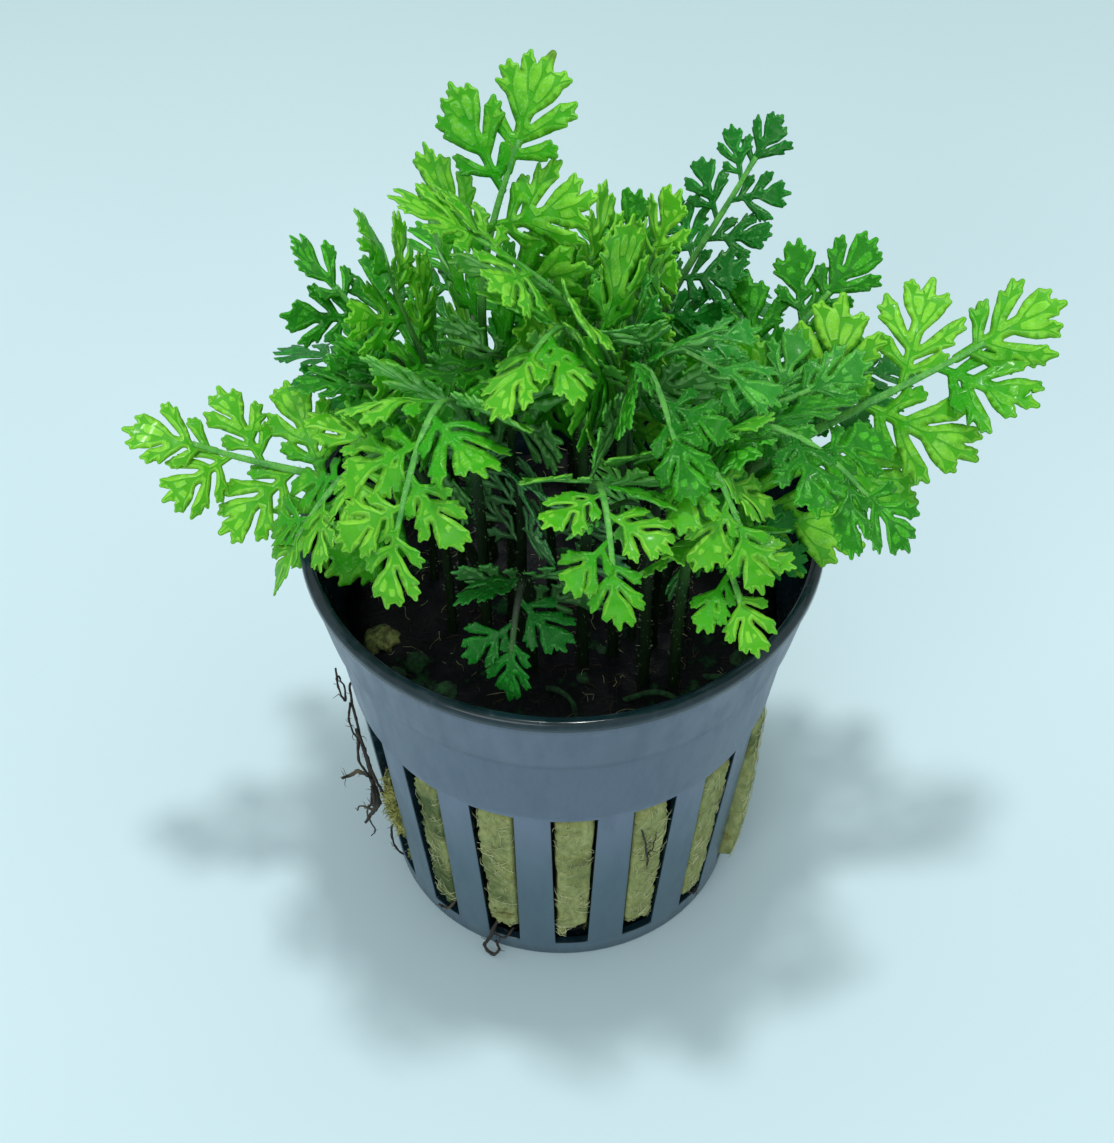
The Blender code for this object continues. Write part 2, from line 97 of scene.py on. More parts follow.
# Where the wool has sunk from a slot's edges, by slot from the front one to the right: how much of the slot
# is sunk and painted dark as shade from its left and its right edge (of half its width) and from its foot,
# and its stain
WOOL_GAPS_SHADE_AND_STAIN = {
    -4: (0.9, 0.3, 0.12, 0.9),
    -3: (2.2, 0.3, 0.12, 0.8),
    -2: (0.50, 0.05, 0.10, 0.9),
    -1: (0.22, 0.02, 0.15, 0.35),
    0: (0.14, 0.04, 0.11, 0.1),
    1: (0.02, 0.24, 0.10, 0.0),
    2: (0.02, 0.26, 0.08, 0.1),
    3: (0.0, 0.1, 0.05, 0.2),
}
COMMON_GAPS_SHADE_AND_STAIN = (0.2, 0.15, 0.1, 0.4)

ROOT_SLOT = -4
ROOT_COURSE = (
    (0, -0.5, 25.5),
    (1, 0.9, 25.4),
    (5, 1.0, 24.0),
    (11, 1.0, 21.5),
    (15, 1.0, 18.5),
    (16.5, 1.1, 15.5),
    (17, 1.1, 12.5),
    (15, 1.9, 10.0),
    (12, 3.0, 7.0),
)

# The fronds' courses, in millimetres and degrees, as their solids have them
STALK_WIDTH = 1.3
MIDRIB_WIDTH = 1.0
STALK_FOOT_RISE = 1.1
SHORTEST_STALK = 3.0
TIP_PULL = 0.4
CURVE_STEPS = 80
SLOPE_STEP = 0.5
LEAFLET_PITCH = 0.31
LOWEST_ANGLE = 62.0
HIGHEST_ANGLE = 48.0
LEAFLET_TAPER = 0.28
END_LEAFLET = 0.8
LEAFLET_CURL = 0.10
LEAFLET_TAPER_POWER = 1.3
LIFT_SWING = 12.0
LIFT_PHASE = 2.4
FROND_LIFT_PHASE = 1.7
CLEARING_TURNS = (0, 14, -14, 28, -28, 42, -42, 58, -58)
CLEARING_SWINGS = (0, -14, 14)
CLEARING_SIZES = (1.0, 0.85, 0.7, 0.55)
OUTLINE = ((0.80, -0.30), (0.66, -0.10), (1.00, 0.02), (0.66, 0.12), (0.78, 0.32))
ON_SOLID = 0.75  # a leaflet's outline points lie within this of its solid's corners

Frond = namedtuple("Frond", "name x y azimuth reach climb height pitch sway roll leaflets length tone")
FRONDS = (
    Frond("frond_far_left", -8, -2, 176, 32, 18, 62, 45, 2, -35, 7, 10.0, "bright"),
    Frond("frond_left_low", -11, -5, 210, 18.2, 42, 55, -65, 0, 0, 7, 8.0, "bright"),
    Frond("frond_left_back", -7, 4, 160, 18, 25, 76, 60, -2, -15, 7, 9.5, "mid"),
    Frond("frond_top_left", -10, 1, 175, 7, 32, 86, 80, -1, -10, 7, 9.5, "bright"),
    Frond("frond_top", -4, -1.2, 58, 5, 38, 101, 65, -4, 0, 7, 12.5, "bright"),
    Frond("frond_near_top", 7, -6, 183, 20.5, 37, 95, 35, 0, 0, 7, 11.0, "bright"),
    Frond("frond_top_right", 3, -2, 80, 1, 30, 90, 75, -2, 0, 7, 10.0, "bright"),
    Frond("frond_upper_right", 5, 2, 20, 5, 28, 86, 75, 0, 0, 7, 9.5, "bright"),
    Frond("frond_back_middle", 2, 6, 60, 10, 24, 77, 60, 0, 0, 6, 9.0, "mid"),
    Frond("frond_back_right", 6, 6, 45, 20, 28, 82, 60, -2, 0, 8, 7.0, "dark"),
    Frond("frond_right_back", 9, 4, 22, 21, 24, 74, 55, 2, 30, 7, 10.0, "mid"),
    Frond("frond_far_right", 10, -3, 12, 36, 20, 73, 40, -1, 35, 7, 12.5, "bright"),
    Frond("frond_right", 7, 0, 5, 21, 26, 68, 30, 2, 15, 7, 9.5, "mid"),
    Frond("frond_right_low", 9, -7, 335, 23.6, 45, 63, -60, 0, 0, 7, 9.5, "mid"),
    Frond("frond_silver", 6, -4, 332, 14, 44, 75, -15, 0, 0, 7, 10.0, "mid"),
    Frond("frond_centre_right", 5, -8, 294, 14.5, 50, 74, -50, 0, 0, 6, 9.0, "mid"),
    Frond("frond_centre_left", 2, -6, 240, 15, 40, 81, -30, 0, 0, 7, 9.5, "bright"),
    Frond("frond_pale", 8, -12, 222, 11, 28, 66, -5, 0, 0, 5, 6.0, "bright"),
    Frond("frond_mid_right", 8, -9, 300, 17.8, 44, 66, -60, 0, 0, 6, 8.5, "bright"),
    Frond("frond_front_left", -7.5, -6.5, 248, 20.8, 56, 66, -70, 0, 0, 7, 9.0, "bright"),
    Frond("frond_left", -13, 2, 196, 12, 28, 68, 15, 0, 0, 6, 9.0, "mid"),
    Frond("frond_left_middle", -5, -3, 215, 10, 40, 72, -20, 0, 0, 6, 9.0, "mid"),
    Frond("frond_front_centre", 2, -10, 278, 18.5, 39, 66, -70, 0, 0, 6, 7.5, "bright"),
    Frond("frond_front_right", 11, -12, 290, 16.5, 31, 61, -50, 0, 0, 5, 7.5, "bright"),
    Frond("frond_front_hanging", -3, -10, 258, 10, 27, 46, -80, 0, 0, 6, 7.5, "dark"),
    Frond("frond_centre_low_left", -4, -6, 225, 7, 22, 69, 45, 0, 0, 6, 8.0, "dark"),
    Frond("frond_centre_low", -1, -8, 255, 5, 20, 66, 60, 0, 0, 5, 7.5, "dark"),
    Frond("frond_rim_right", 12, -5, 340, 11.5, 22, 51, -20, 0, 0, 6, 6.5, "dark"),
    Frond("frond_back_left", -5, 7, 116, 20, 26, 66, 30, 0, 0, 5, 9.0, "mid"),
    Frond("frond_back", 1, 9, 82, 22, 28, 62, 15, 0, 0, 5, 9.0, "mid"),
    Frond("frond_back_low_right", 6, 10, 50, 23, 26, 56, 0, 0, 0, 4, 9.0, "dark"),
    Frond("frond_back_low_left", -8, 7, 151, 23, 26, 56, 5, 0, 0, 4, 9.0, "dark"),
    Frond("frond_right_back_low", 11, 5, 20, 26, 26, 56, -10, 0, 0, 4, 9.0, "dark"),
)

# The fine roots: the slot that each hangs from, its course as on_wall takes it (degrees from the
# slot's middle, proud of the wall, height) and its radius at the start and the end, in millimetres
FINE_ROOTS = (
    (-4, ((1, 1.9, 28.0), (6, 1.9, 26.6), (5, 1.6, 24.6), (1, 1.7, 25.0), (2, 1.8, 27.2)), 0.13, 0.1),
    (-4, ((5, 1.2, 24.2), (10, 1.7, 23.0), (12, 1.2, 20.8)), 0.14, 0.09),
    (-4, ((12, 1.3, 21.5), (17, 1.9, 20.3), (18, 1.4, 17.6), (16, 1.2, 16.2)), 0.18, 0.12),
    (-4, ((16, 1.4, 17.0), (13, 2.2, 16.4), (12, 3.2, 15.6), (13, 4.0, 16.0)), 0.26, 0.16),
    (-4, ((17, 1.4, 15.6), (20, 1.6, 14.2), (18, 1.9, 12.6), (15, 1.6, 13.4)), 0.2, 0.12),
    (-4, ((15, 2.0, 10.4), (11, 3.0, 9.4), (10, 3.6, 8.2)), 0.14, 0.07),
    (-4, ((14, 1.6, 12.0), (17, 2.6, 10.8), (19, 2.4, 8.8), (18, 2.9, 7.4)), 0.12, 0.06),
    (-4, ((10, 1.2, 22.2), (14, 1.0, 21.0), (19, 0.9, 18.2), (21, 0.6, 15.4)), 0.2, 0.16),
    (-4, ((22, -0.8, 10.5), (21, 0.7, 9.2), (22, 0.9, 6.4), (23, 0.4, 4.6)), 0.16, 0.1),
    (1, ((-4, -0.4, 25.8), (-2.5, 0.25, 22.0), (-0.5, 0.2, 17.5), (0.5, -0.3, 13.0)), 0.13, 0.07),
    (1, ((1.5, -0.4, 24.0), (1.0, 0.2, 21.0), (-0.5, 0.15, 18.5)), 0.07, 0.05),
    (-1, ((-3, -0.8, 4.2), (-4, 0.6, 2.6), (-5.5, 1.2, 1.0),
      (-2.5, 1.7, 0.5), (-0.5, 1.2, 1.2), (-3, 0.6, 1.6)), 0.24, 0.16),
    (-1, ((3, -0.7, 3.6), (1, 0.3, 2.9), (-3, 0.4, 2.7)), 0.16, 0.1),
    (-2, ((4, -0.9, 5.0), (2, 0.3, 3.4), (-2, 0.5, 3.0)), 0.18, 0.1),
    (2, ((-3, -0.9, 4.6), (0, 0.2, 3.2), (3, 0.2, 3.4)), 0.14, 0.1),
    (7, ((0, -0.6, 14.0), (3, 0.9, 11.0), (6, 1.1, 7.0), (5, 1.6, 3.4)), 0.22, 0.1),
    (-7, ((0, -0.6, 20.0), (-2, 0.8, 17.0), (1, 1.2, 12.5), (4, 1.0, 9.0)), 0.2, 0.09),
    (5, ((2, -0.6, 9.0), (4, 0.7, 6.4), (7, 1.5, 3.2)), 0.16, 0.08),
)

# Old, bent leaf stalks in the pot's mouth, as courses of points in millimetres
DEAD_STEMS = (
    [(6.0, -14.0, 37.6), (9.0, -14.6, 39.6), (11.2, -16.2, 40.2), (11.9, -18.2, 39.4), (11.4, -19.8, 37.4)],
    [(-1.5, -12.5, 37.6), (-0.5, -14.5, 39.8), (0.9, -16.0, 39.9), (1.6, -17.4, 38.0)],
    [(-9.0, -15.0, 37.6), (-7.6, -16.4, 39.0), (-5.4, -17.2, 38.9), (-3.8, -17.0, 37.6)],
    [(14.0, -11.0, 37.6), (15.6, -12.0, 38.9), (17.0, -11.6, 39.0), (18.4, -10.4, 37.5)],
)

# Fronds whose blades are drawn in another tone than their row above names
LOOKS = {
    "frond_silver": "silvery",
    "frond_right": "silvery",
    "frond_pale": "pale",
    "frond_centre_low_left": "teal",
    "frond_centre_low": "teal",
}
# Fronds with narrower, more feathery lobes, and how wide those are against the common ones
FEATHERY = {
    "frond_centre_low_left": 0.75,
    "frond_centre_low": 0.7,
    "frond_silver": 0.85,
    "frond_pale": 0.8,
}

# A leaflet's lobes, as shares of its length: side, where each leaves the middle vein, and its tip
SIDE_LOBES = (
    (-1, 0.30, 0.69, 0.30),
    (1, 0.35, 0.76, 0.29),
    (1, 0.56, 0.92, 0.140),
    (-1, 0.52, 0.87, 0.135),
)
LOWER_LOBES = (
    (1, 0.18, 0.42, 0.28),
    (-1, 0.12, 0.36, 0.27),
)
# Half widths along a lobe, as (share of the lobe, share of the leaflet's length)
MIDDLE_WIDTHS = ((0.0, 0.040), (0.25, 0.046), (0.45, 0.062), (0.7, 0.076), (0.88, 0.064), (1.0, 0.032))
SIDE_WIDTHS = ((0.0, 0.042), (0.3, 0.060), (0.6, 0.080), (0.85, 0.062), (1.0, 0.026))
LOWER_WIDTHS = ((0.0, 0.034), (0.35, 0.052), (0.65, 0.066), (0.85, 0.050), (1.0, 0.022))
# The fingers of a lobe: where each leaves it, how far it turns out and its length against the leaflet's
WIDE_FINGER = (0.42, 0.50, 0.185)
NEAR_FINGER = (0.62, 0.44, 0.135)
MID_FINGER = (0.66, 0.46, 0.145)
FINGER_WIDTHS = ((0.0, 0.036), (0.5, 0.048), (0.8, 0.042), (1.0, 0.022))
# The two at the tip of the middle lobe, each with its side
TIP_FINGERS = ((1, (0.80, 0.42, 0.13)), (-1, (0.76, 0.42, 0.14)))
LEAFLET_SWELL = 1.14  # a drawn leaflet's length against its solid's
FIELD_STEP = 0.16  # millimetres between the samples that a leaflet's outline is read from
BLADE_GRAIN = 0.55  # millimetres between a blade's inner mesh points
VEIN_STEP = 0.40  # millimetres between the mesh points along a vein


def linear(code):
    """An sRGB hex colour as linear RGBA."""
    values = [int(code[i : i + 2], 16) / 255 for i in (1, 3, 5)]
    return tuple(v / 12.92 if v <= 0.04045 else ((v + 0.055) / 1.055) ** 2.4 for v in values) + (1.0,)


def colour(name, description, code):
    """A colour property whose default is an sRGB hex colour."""
    return bpy.props.FloatVectorProperty(
        name=name, description=description, subtype="COLOR", size=4, min=0, max=1, default=linear(code)
    )


def length(name, description, millimetres):
    """A length property whose default is given in millimetres."""
    return bpy.props.FloatProperty(
        name=name, description=description, subtype="DISTANCE", unit="LENGTH", min=0, default=millimetres * MM
    )


class PotProperties(bpy.types.PropertyGroup):
    plastic: colour("Plastic", "Colour of the moulded pot", "#485669")
    # Also the colour of the painted shade on the pot's inside and on the slots' cheeks.
    lip: colour("Lip", "Colour of the glossy rolled lip", "#0e2229")
    edge_radius: length("Edge radius", "Radius on the edges of the slots and steps", 0.12)


class WoolProperties(bpy.types.PropertyGroup):
    fibre: colour("Fibre", "Colour of clean rock wool", "#717c4c")
    stain: colour("Stain", "Colour of the algae stains in the wool", "#2f4424")
    # Nearly black: painted shade in the pot's mouth over the wet felt's own darker colour.
    top: colour("Wet top", "Colour of the wet, mossy top", "#05080e")
    moss: colour("Moss", "Colour of the moss on the top", "#12401f")
    pillow: length("Pillow", "How far the wool swells into a slot", 1.36)
    bulge: length("Bulge", "How far it stands out of the two slots that it bursts from", 2.7)
    fibres: bpy.props.IntProperty(name="Fibres", description="Loose fibres on the wool", min=0, default=1500)


class RootProperties(bpy.types.PropertyGroup):
    bark: colour("Root", "Colour of the old roots", "#1f1a13")
    pale: colour("Young root", "Colour of the root ends", "#54482f")
    thickness: length("Thickness", "Diameter of the thickest root", 0.62)


class FrondProperties(bpy.types.PropertyGroup):
    bright: colour("Young leaf", "Colour of the youngest blades", "#8cd63a")
    mid: colour("Leaf", "Colour of the grown blades", "#48b41c")
    # Also the colour of the painted highlight specks and streaks on the blades.
    dark: colour("Old leaf", "Colour of the old, shaded blades", "#07601a")
    silver: colour("Underside", "Colour of the blades' undersides", "#a8e49c")
    stalk: colour("Stalk", "Colour of the stalks and midribs", "#4f9a34")
    hair: colour("Hair", "Colour of the fine hairs on the stalks", "#b9d3ac")
    thickness: length("Blade thickness", "Thickness of a leaf blade", 0.26)
    hair_length: length("Hair length", "Length of the hairs on the stalks", 0.4)


class StageProperties(bpy.types.PropertyGroup):
    floor: colour("Floor", "Colour of the plain floor", "#aec2ca")
    sky: colour("Ambient", "Colour of the soft light from all around", "#eef7f6")
    distance: length("Camera distance", "From the plant's middle to the camera", 256.6)
    elevation: bpy.props.FloatProperty(
        name="Camera elevation", description="Angle above the floor", subtype="ANGLE", default=0.831
    )


def add_node(tree, kind, inputs=None, **settings):
    """Adds a node, sets its settings, and gives each input a value or a link."""
    made = tree.nodes.new(kind)
    for name, value in settings.items():
        setattr(made, name, value)
    for key, value in (inputs or {}).items():
        socket = made.inputs[key]
        if isinstance(value, bpy.types.NodeSocket):
            tree.links.new(value, socket)
        else:
            socket.default_value = value
    return made


def new_material(name):
    """An empty material with its tree, its output and coordinates in metres."""
    material = bpy.data.materials.new(name)
    material.use_nodes = True
    tree = material.node_tree
    tree.nodes.clear()
    output = add_node(tree, "ShaderNodeOutputMaterial")
    place = add_node(tree, "ShaderNodeTexCoord").outputs["Object"]
    return material, tree, output.inputs["Surface"], place


def per_mm(size):
    """A texture scale whose pattern repeats about every size millimetres, on coordinates in metres."""
    return 1 / (size * MM)


def faded(tree, value, low, high, to_low=0.0, to_high=1.0):
    """A value eased from one range to another."""
    return add_node(
        tree,
        "ShaderNodeMapRange",
        {"Value": value, "From Min": low, "From Max": high, "To Min": to_low, "To Max": to_high},
        interpolation_type="SMOOTHSTEP",
    ).outputs[0]


def blended(tree, share, first, second):
    """Two colours mixed by a share."""
    return add_node(tree, "ShaderNodeMix", {0: share, 6: first, 7: second}, data_type="RGBA").outputs[2]


def grain(tree, place, size, detail=3.0, roughness=0.55, stretch=None):
    """Noise with features of about size millimetres, stretched along the axes where asked."""
    if stretch:
        place = add_node(tree, "ShaderNodeMapping", {"Vector": place, "Scale": stretch}).outputs[0]
    return add_node(
        tree,
        "ShaderNodeTexNoise",
        {"Vector": place, "Scale": per_mm(size), "Detail": detail, "Roughness": roughness},
    ).outputs[0]


def calc(tree, operation, first, second=0.0, third=0.0):
    return add_node(tree, "ShaderNodeMath", {0: first, 1: second, 2: third}, operation=operation).outputs[0]


def read(tree, name):
    return add_node(tree, "ShaderNodeAttribute", attribute_name=name).outputs["Fac"]


def moulded_polypropylene(settings):
    """Injection-moulded polypropylene: a soft satin sheen with a faint grain from the mould, cloudier in
    patches where it was handled wet, darker and bluer towards the foot, and painted lighter below the collar
    as painted light against the shade that the collar casts."""
    material, tree, surface, place = new_material("moulded_polypropylene")
    cloud = grain(tree, place, 7.0, 3.0)
    flow = grain(tree, place, 2.2, 4.0, 0.6, (1.0, 1.0, 0.25))
    fleck = faded(tree, grain(tree, place, 0.35, 2.0), 0.70, 0.78)
    height = add_node(tree, "ShaderNodeSeparateXYZ", {"Vector": place}).outputs["Z"]
    # Darker and bluer (#3c5560) from about 30 mm down to 12 mm above the floor.
    darker_low_down = faded(tree, height, 0.012, 0.030, 1.0, 0.0)
    # Painted light: below the collar's foot the plastic is painted lighter (#566579) than the collar, against
    # the shade that the collar casts on the band.
    base = blended(tree, faded(tree, height, 0.0385, 0.0395), linear("#566579"), settings.plastic)
    base = blended(tree, faded(tree, cloud, 0.35, 0.7, 0.0, 0.35), base, linear("#5a687a"))
    base = blended(tree, calc(tree, "MULTIPLY", darker_low_down, 0.8), base, linear("#3c5560"))
    base = blended(tree, faded(tree, flow, 0.4, 0.75, 0.0, 0.3), base, linear("#3a4a5c"))
    base = blended(tree, calc(tree, "MULTIPLY", fleck, 0.35), base, linear("#1f282e"))
    rough = faded(tree, flow, 0.3, 0.75, 0.34, 0.50)
    mould = grain(tree, place, 0.28, 2.0)
    bump = add_node(tree, "ShaderNodeBump", {"Height": mould, "Strength": 0.10, "Distance": 0.00006})
    shader = add_node(
        tree,
        "ShaderNodeBsdfPrincipled",
        {"Base Color": base, "Roughness": rough, "IOR": 1.49, "Normal": bump.outputs[0]},
    )
    tree.links.new(shader.outputs[0], surface)
    return material


def dark_lip_and_shade_plastic(settings):
    """The same plastic, glossy and painted nearly black: darker on the lip, and painted shade on the inside
    of the pot and on the slots' cheeks.
    """
    material, tree, surface, place = new_material("dark_lip_and_shade_plastic")
    wear = faded(tree, grain(tree, place, 1.6, 4.0), 0.45, 0.75)
    base = blended(tree, calc(tree, "MULTIPLY", wear, 0.25), settings.lip, linear("#3a4c58"))
    shader = add_node(
        tree,
        "ShaderNodeBsdfPrincipled",
        {
            "Base Color": base,
            "Roughness": faded(tree, wear, 0.0, 1.0, 0.14, 0.30),
            "IOR": 1.49,
            "Specular IOR Level": 0.35,
        },
    )
    tree.links.new(shader.outputs[0], surface)
    return material


def felted_rock_wool(settings):
    """Spun stone fibre felted into a mat: dull, soft and hairy, with olive stains where algae grow, dark
    crumbs and thin brown lines of root, and painted near-black shade where it has sunk from the slots' edges
    and outside the slots."""
    material, tree, surface, place = new_material("felted_rock_wool")
    stain = grain(tree, place, 6.5, 4.0, 0.6)
    blotch = grain(tree, place, 2.4, 4.0, 0.62)
    felt = grain(tree, place, 0.55, 5.0, 0.7, (1.0, 1.0, 0.45))
    crumbs = faded(tree, grain(tree, place, 0.8, 2.0), 0.68, 0.73)
    roots = add_node(
        tree,
        "ShaderNodeTexWave",
        {"Vector": place, "Scale": 22.0, "Distortion": 14.0, "Detail": 3.0, "Detail Scale": 60.0},
        wave_type="BANDS",
        bands_direction="DIAGONAL",
    ).outputs["Fac"]
    root_line = calc(tree, "MULTIPLY", faded(tree, roots, 0.972, 0.995), faded(tree, blotch, 0.5, 0.7))
    algae = calc(tree, "ADD", stain, calc(tree, "MULTIPLY", read(tree, "stained"), 0.30))
    base = blended(tree, faded(tree, felt, 0.3, 0.75), settings.fibre, linear("#959a68"))
    base = blended(tree, faded(tree, blotch, 0.45, 0.72, 0.0, 0.55), base, linear("#6c6c34"))
    base = blended(tree, faded(tree, algae, 0.55, 0.80, 0.0, 0.85), base, settings.stain)
    base = blended(tree, calc(tree, "MULTIPLY", root_line, 0.7), base, linear("#4f3216"))
    base = blended(tree, calc(tree, "MULTIPLY", crumbs, 0.8), base, linear("#17160e"))
    # Painted shade: near black where the wool has sunk at the slots' edges and foot, and outside the slots.
    base = blended(tree, read(tree, "sunk"), base, linear("#060705"))
    height = calc(tree, "ADD", felt, calc(tree, "MULTIPLY", blotch, 1.5))
    bump = add_node(tree, "ShaderNodeBump", {"Height": height, "Strength": 0.9, "Distance": 0.00018})
    shader = add_node(
        tree,
        "ShaderNodeBsdfPrincipled",
        {"Base Color": base, "Roughness": 0.95, "Specular IOR Level": 0.15, "Normal": bump.outputs[0]},
    )
    tree.links.new(shader.outputs[0], surface)
    return material


def wet_wool_top_in_painted_shade(settings):
    """The same felt, soaked and overgrown: painted nearly black as shade, slightly shiny where it is wet,
    with green moss and slime in patches."""
    material, tree, surface, place = new_material("wet_wool_top_in_painted_shade")
    patch = grain(tree, place, 5.0, 4.0, 0.65)
    fine = grain(tree, place, 0.8, 5.0, 0.7)
    # The near-black top colour is painted shade.
    base = blended(tree, faded(tree, fine, 0.45, 0.8, 0.0, 0.6), settings.top, linear("#101613"))
    moss = faded(tree, calc(tree, "ADD", patch, calc(tree, "MULTIPLY", fine, 0.2)), 0.68, 0.78)
    base = blended(tree, moss, base, settings.moss)
    height = calc(tree, "ADD", fine, calc(tree, "MULTIPLY", patch, 2.0))
    bump = add_node(tree, "ShaderNodeBump", {"Height": height, "Strength": 1.0, "Distance": 0.0003})
    shader = add_node(
        tree,
        "ShaderNodeBsdfPrincipled",
        {
            "Base Color": base,
            "Roughness": faded(tree, patch, 0.35, 0.65, 0.38, 0.9),
            "Specular IOR Level": 0.2,
            "Normal": bump.outputs[0],
        },
    )
    tree.links.new(shader.outputs[0], surface)
    return material


def plain_fibre(name, low, high, roughness, size):
    """Thin strands, such as fibres, hairs and root ends: one dull colour that drifts along them."""
    material, tree, surface, place = new_material(name)
    base = blended(tree, faded(tree, grain(tree, place, size, 3.0), 0.35, 0.65), low, high)
    shader = add_node(tree, "ShaderNodeBsdfPrincipled", {"Base Color": base, "Roughness": roughness})
    tree.links.new(shader.outputs[0], surface)
    return material


def root_bark(settings):
    """Old root skin: dark brown, dry, wrinkled along its length, paler towards the young ends."""
    material, tree, surface, place = new_material("root_bark")
    wrinkle = grain(tree, place, 0.5, 4.0, 0.65)
    age = grain(tree, place, 5.0, 2.0)
    base = blended(tree, faded(tree, age, 0.5, 0.75), settings.bark, settings.pale)
    base = blended(tree, faded(tree, wrinkle, 0.5, 0.8, 0.0, 0.7), base, linear("#140c06"))
    bump = add_node(tree, "ShaderNodeBump", {"Height": wrinkle, "Strength": 0.8, "Distance": 0.0001})
    shader = add_node(
        tree,
        "ShaderNodeBsdfPrincipled",
        {"Base Color": base, "Roughness": 0.72, "Normal": bump.outputs[0]},
    )
    tree.links.new(shader.outputs[0], surface)
    return material


def painted_bush_shade(tree, place, top, near, far, most):
    """The share of painted shade: most low in the middle of the bush, fading to 0 at the top and at far."""
    x, y, z = add_node(tree, "ShaderNodeSeparateXYZ", {"Vector": place}).outputs
    squares = calc(tree, "ADD", calc(tree, "MULTIPLY", x, x), calc(tree, "MULTIPLY", y, y))
    middle = faded(tree, calc(tree, "SQRT", squares), near, far, 1.0, 0.0)
    return calc(tree, "MULTIPLY", faded(tree, z, 0.056, top, most, 0.0), middle)


def leaf_blade(name, young, old, settings, silver_share=0.34):
    """A thin living leaf: waxy enough for a soft gloss, lit through by what is behind it, yellower at the
    young teeth, with sunken veins above and silvery down beneath. Pale specks and streaks on its face are
    painted highlights, and its vein grooves, ripples and the middle of the bush get painted shade."""
    material, tree, surface, place = new_material(name)
    vein, edge, run = read(tree, "vein_mm"), read(tree, "edge_mm"), read(tree, "run")
    tone, under = read(tree, "tone"), read(tree, "under")
    mottle = grain(tree, place, 1.6, 3.0, 0.6)
    speck = grain(tree, place, 0.22, 3.0, 0.6)
    youth = calc(tree, "ADD", calc(tree, "MULTIPLY", run, 0.55), calc(tree, "MULTIPLY", tone, 0.6))
    youth = calc(tree, "ADD", youth, calc(tree, "MULTIPLY", calc(tree, "SUBTRACT", mottle, 0.5), 0.9))
    base = blended(tree, faded(tree, youth, 0.1, 1.0), old, young)
    # Painted highlights: pale specks of the underside colour on the blade.
    down_and_glint_specks = faded(tree, speck, 0.50, 0.72, 0.0, silver_share * 1.1)
    base = blended(tree, down_and_glint_specks, base, settings.silver)
    # Painted highlights: pale streaks along the side veins, in patches.
    mist = faded(tree, grain(tree, place, 5.0, 2.0), 0.46, 0.62, 0.1, 1.0)
    forward = calc(tree, "MULTIPLY_ADD", run, 34.0, calc(tree, "MULTIPLY", mottle, 2.5))
    side_veins = calc(tree, "SINE", calc(tree, "MULTIPLY_ADD", vein, -17.0, forward))
    lines = faded(tree, side_veins, 0.2, 1.0, 0.0, 0.05 + 0.55 * silver_share)
    near_vein = faded(tree, vein, 0.20, 0.36, 1.0, 0.0)
    lines = calc(tree, "MULTIPLY", calc(tree, "MULTIPLY", lines, mist), near_vein)
    base = blended(tree, lines, base, settings.silver)
    back = calc(tree, "MULTIPLY", under, 0.2 + silver_share)
    base = blended(tree, back, base, settings.silver)
    # Painted shade: darker in the troughs of the ripples along the side veins.
    ripple = faded(tree, side_veins, -0.95, -0.3, 1.0, 0.0)
    ripple = calc(tree, "MULTIPLY", ripple, near_vein)
    base = blended(tree, calc(tree, "MULTIPLY", ripple, 0.16), base, old)
    # Painted shade: darker in the sunken vein grooves.
    groove = faded(tree, vein, 0.02, 0.12, 1.0, 0.0)
    base = blended(tree, calc(tree, "MULTIPLY", groove, 0.7), base, old)
    margin = faded(tree, edge, 0.0, 0.14, 1.0, 0.0)
    base = blended(tree, calc(tree, "MULTIPLY", margin, 0.22), base, old)
    spots = faded(tree, grain(tree, place, 6.0, 1.0), 0.70, 0.76)
    burnt = calc(tree, "MULTIPLY", spots, faded(tree, run, 0.86, 0.98))
    base = blended(tree, calc(tree, "MULTIPLY", burnt, 0.6), base, linear("#4a3216"))
    # Painted shade: blades darker low in the middle of the bush.
    inner = painted_bush_shade(tree, place, 0.080, 0.012, 0.022, 0.2)
    base = blended(tree, inner, base, linear("#046410"))
    height = calc(tree, "ADD", calc(tree, "MULTIPLY", speck, 0.6), calc(tree, "MULTIPLY", groove, -0.8))
    height = calc(tree, "ADD", height, calc(tree, "MULTIPLY", ripple, -0.12))
    bump = add_node(tree, "ShaderNodeBump", {"Height": height, "Strength": 0.8, "Distance": 0.0001})
    shine = add_node(
        tree,
        "ShaderNodeBsdfPrincipled",
        {
            "Base Color": base,
            "Roughness": faded(tree, mottle, 0.3, 0.7, 0.28, 0.46),
            "IOR": 1.45,
            "Specular IOR Level": 0.12,
            "Coat Weight": 0.16,
            "Coat Roughness": 0.16,
            "Normal": bump.outputs[0],
        },
    )
    glow = blended(tree, 0.5, base, linear("#6fe40e"))
    through = add_node(tree, "ShaderNodeBsdfTranslucent", {"Color": glow})
    mix = add_node(tree, "ShaderNodeMixShader", {0: 0.36, 1: shine.outputs[0], 2: through.outputs[0]})
    tree.links.new(mix.outputs[0], surface)
    return material


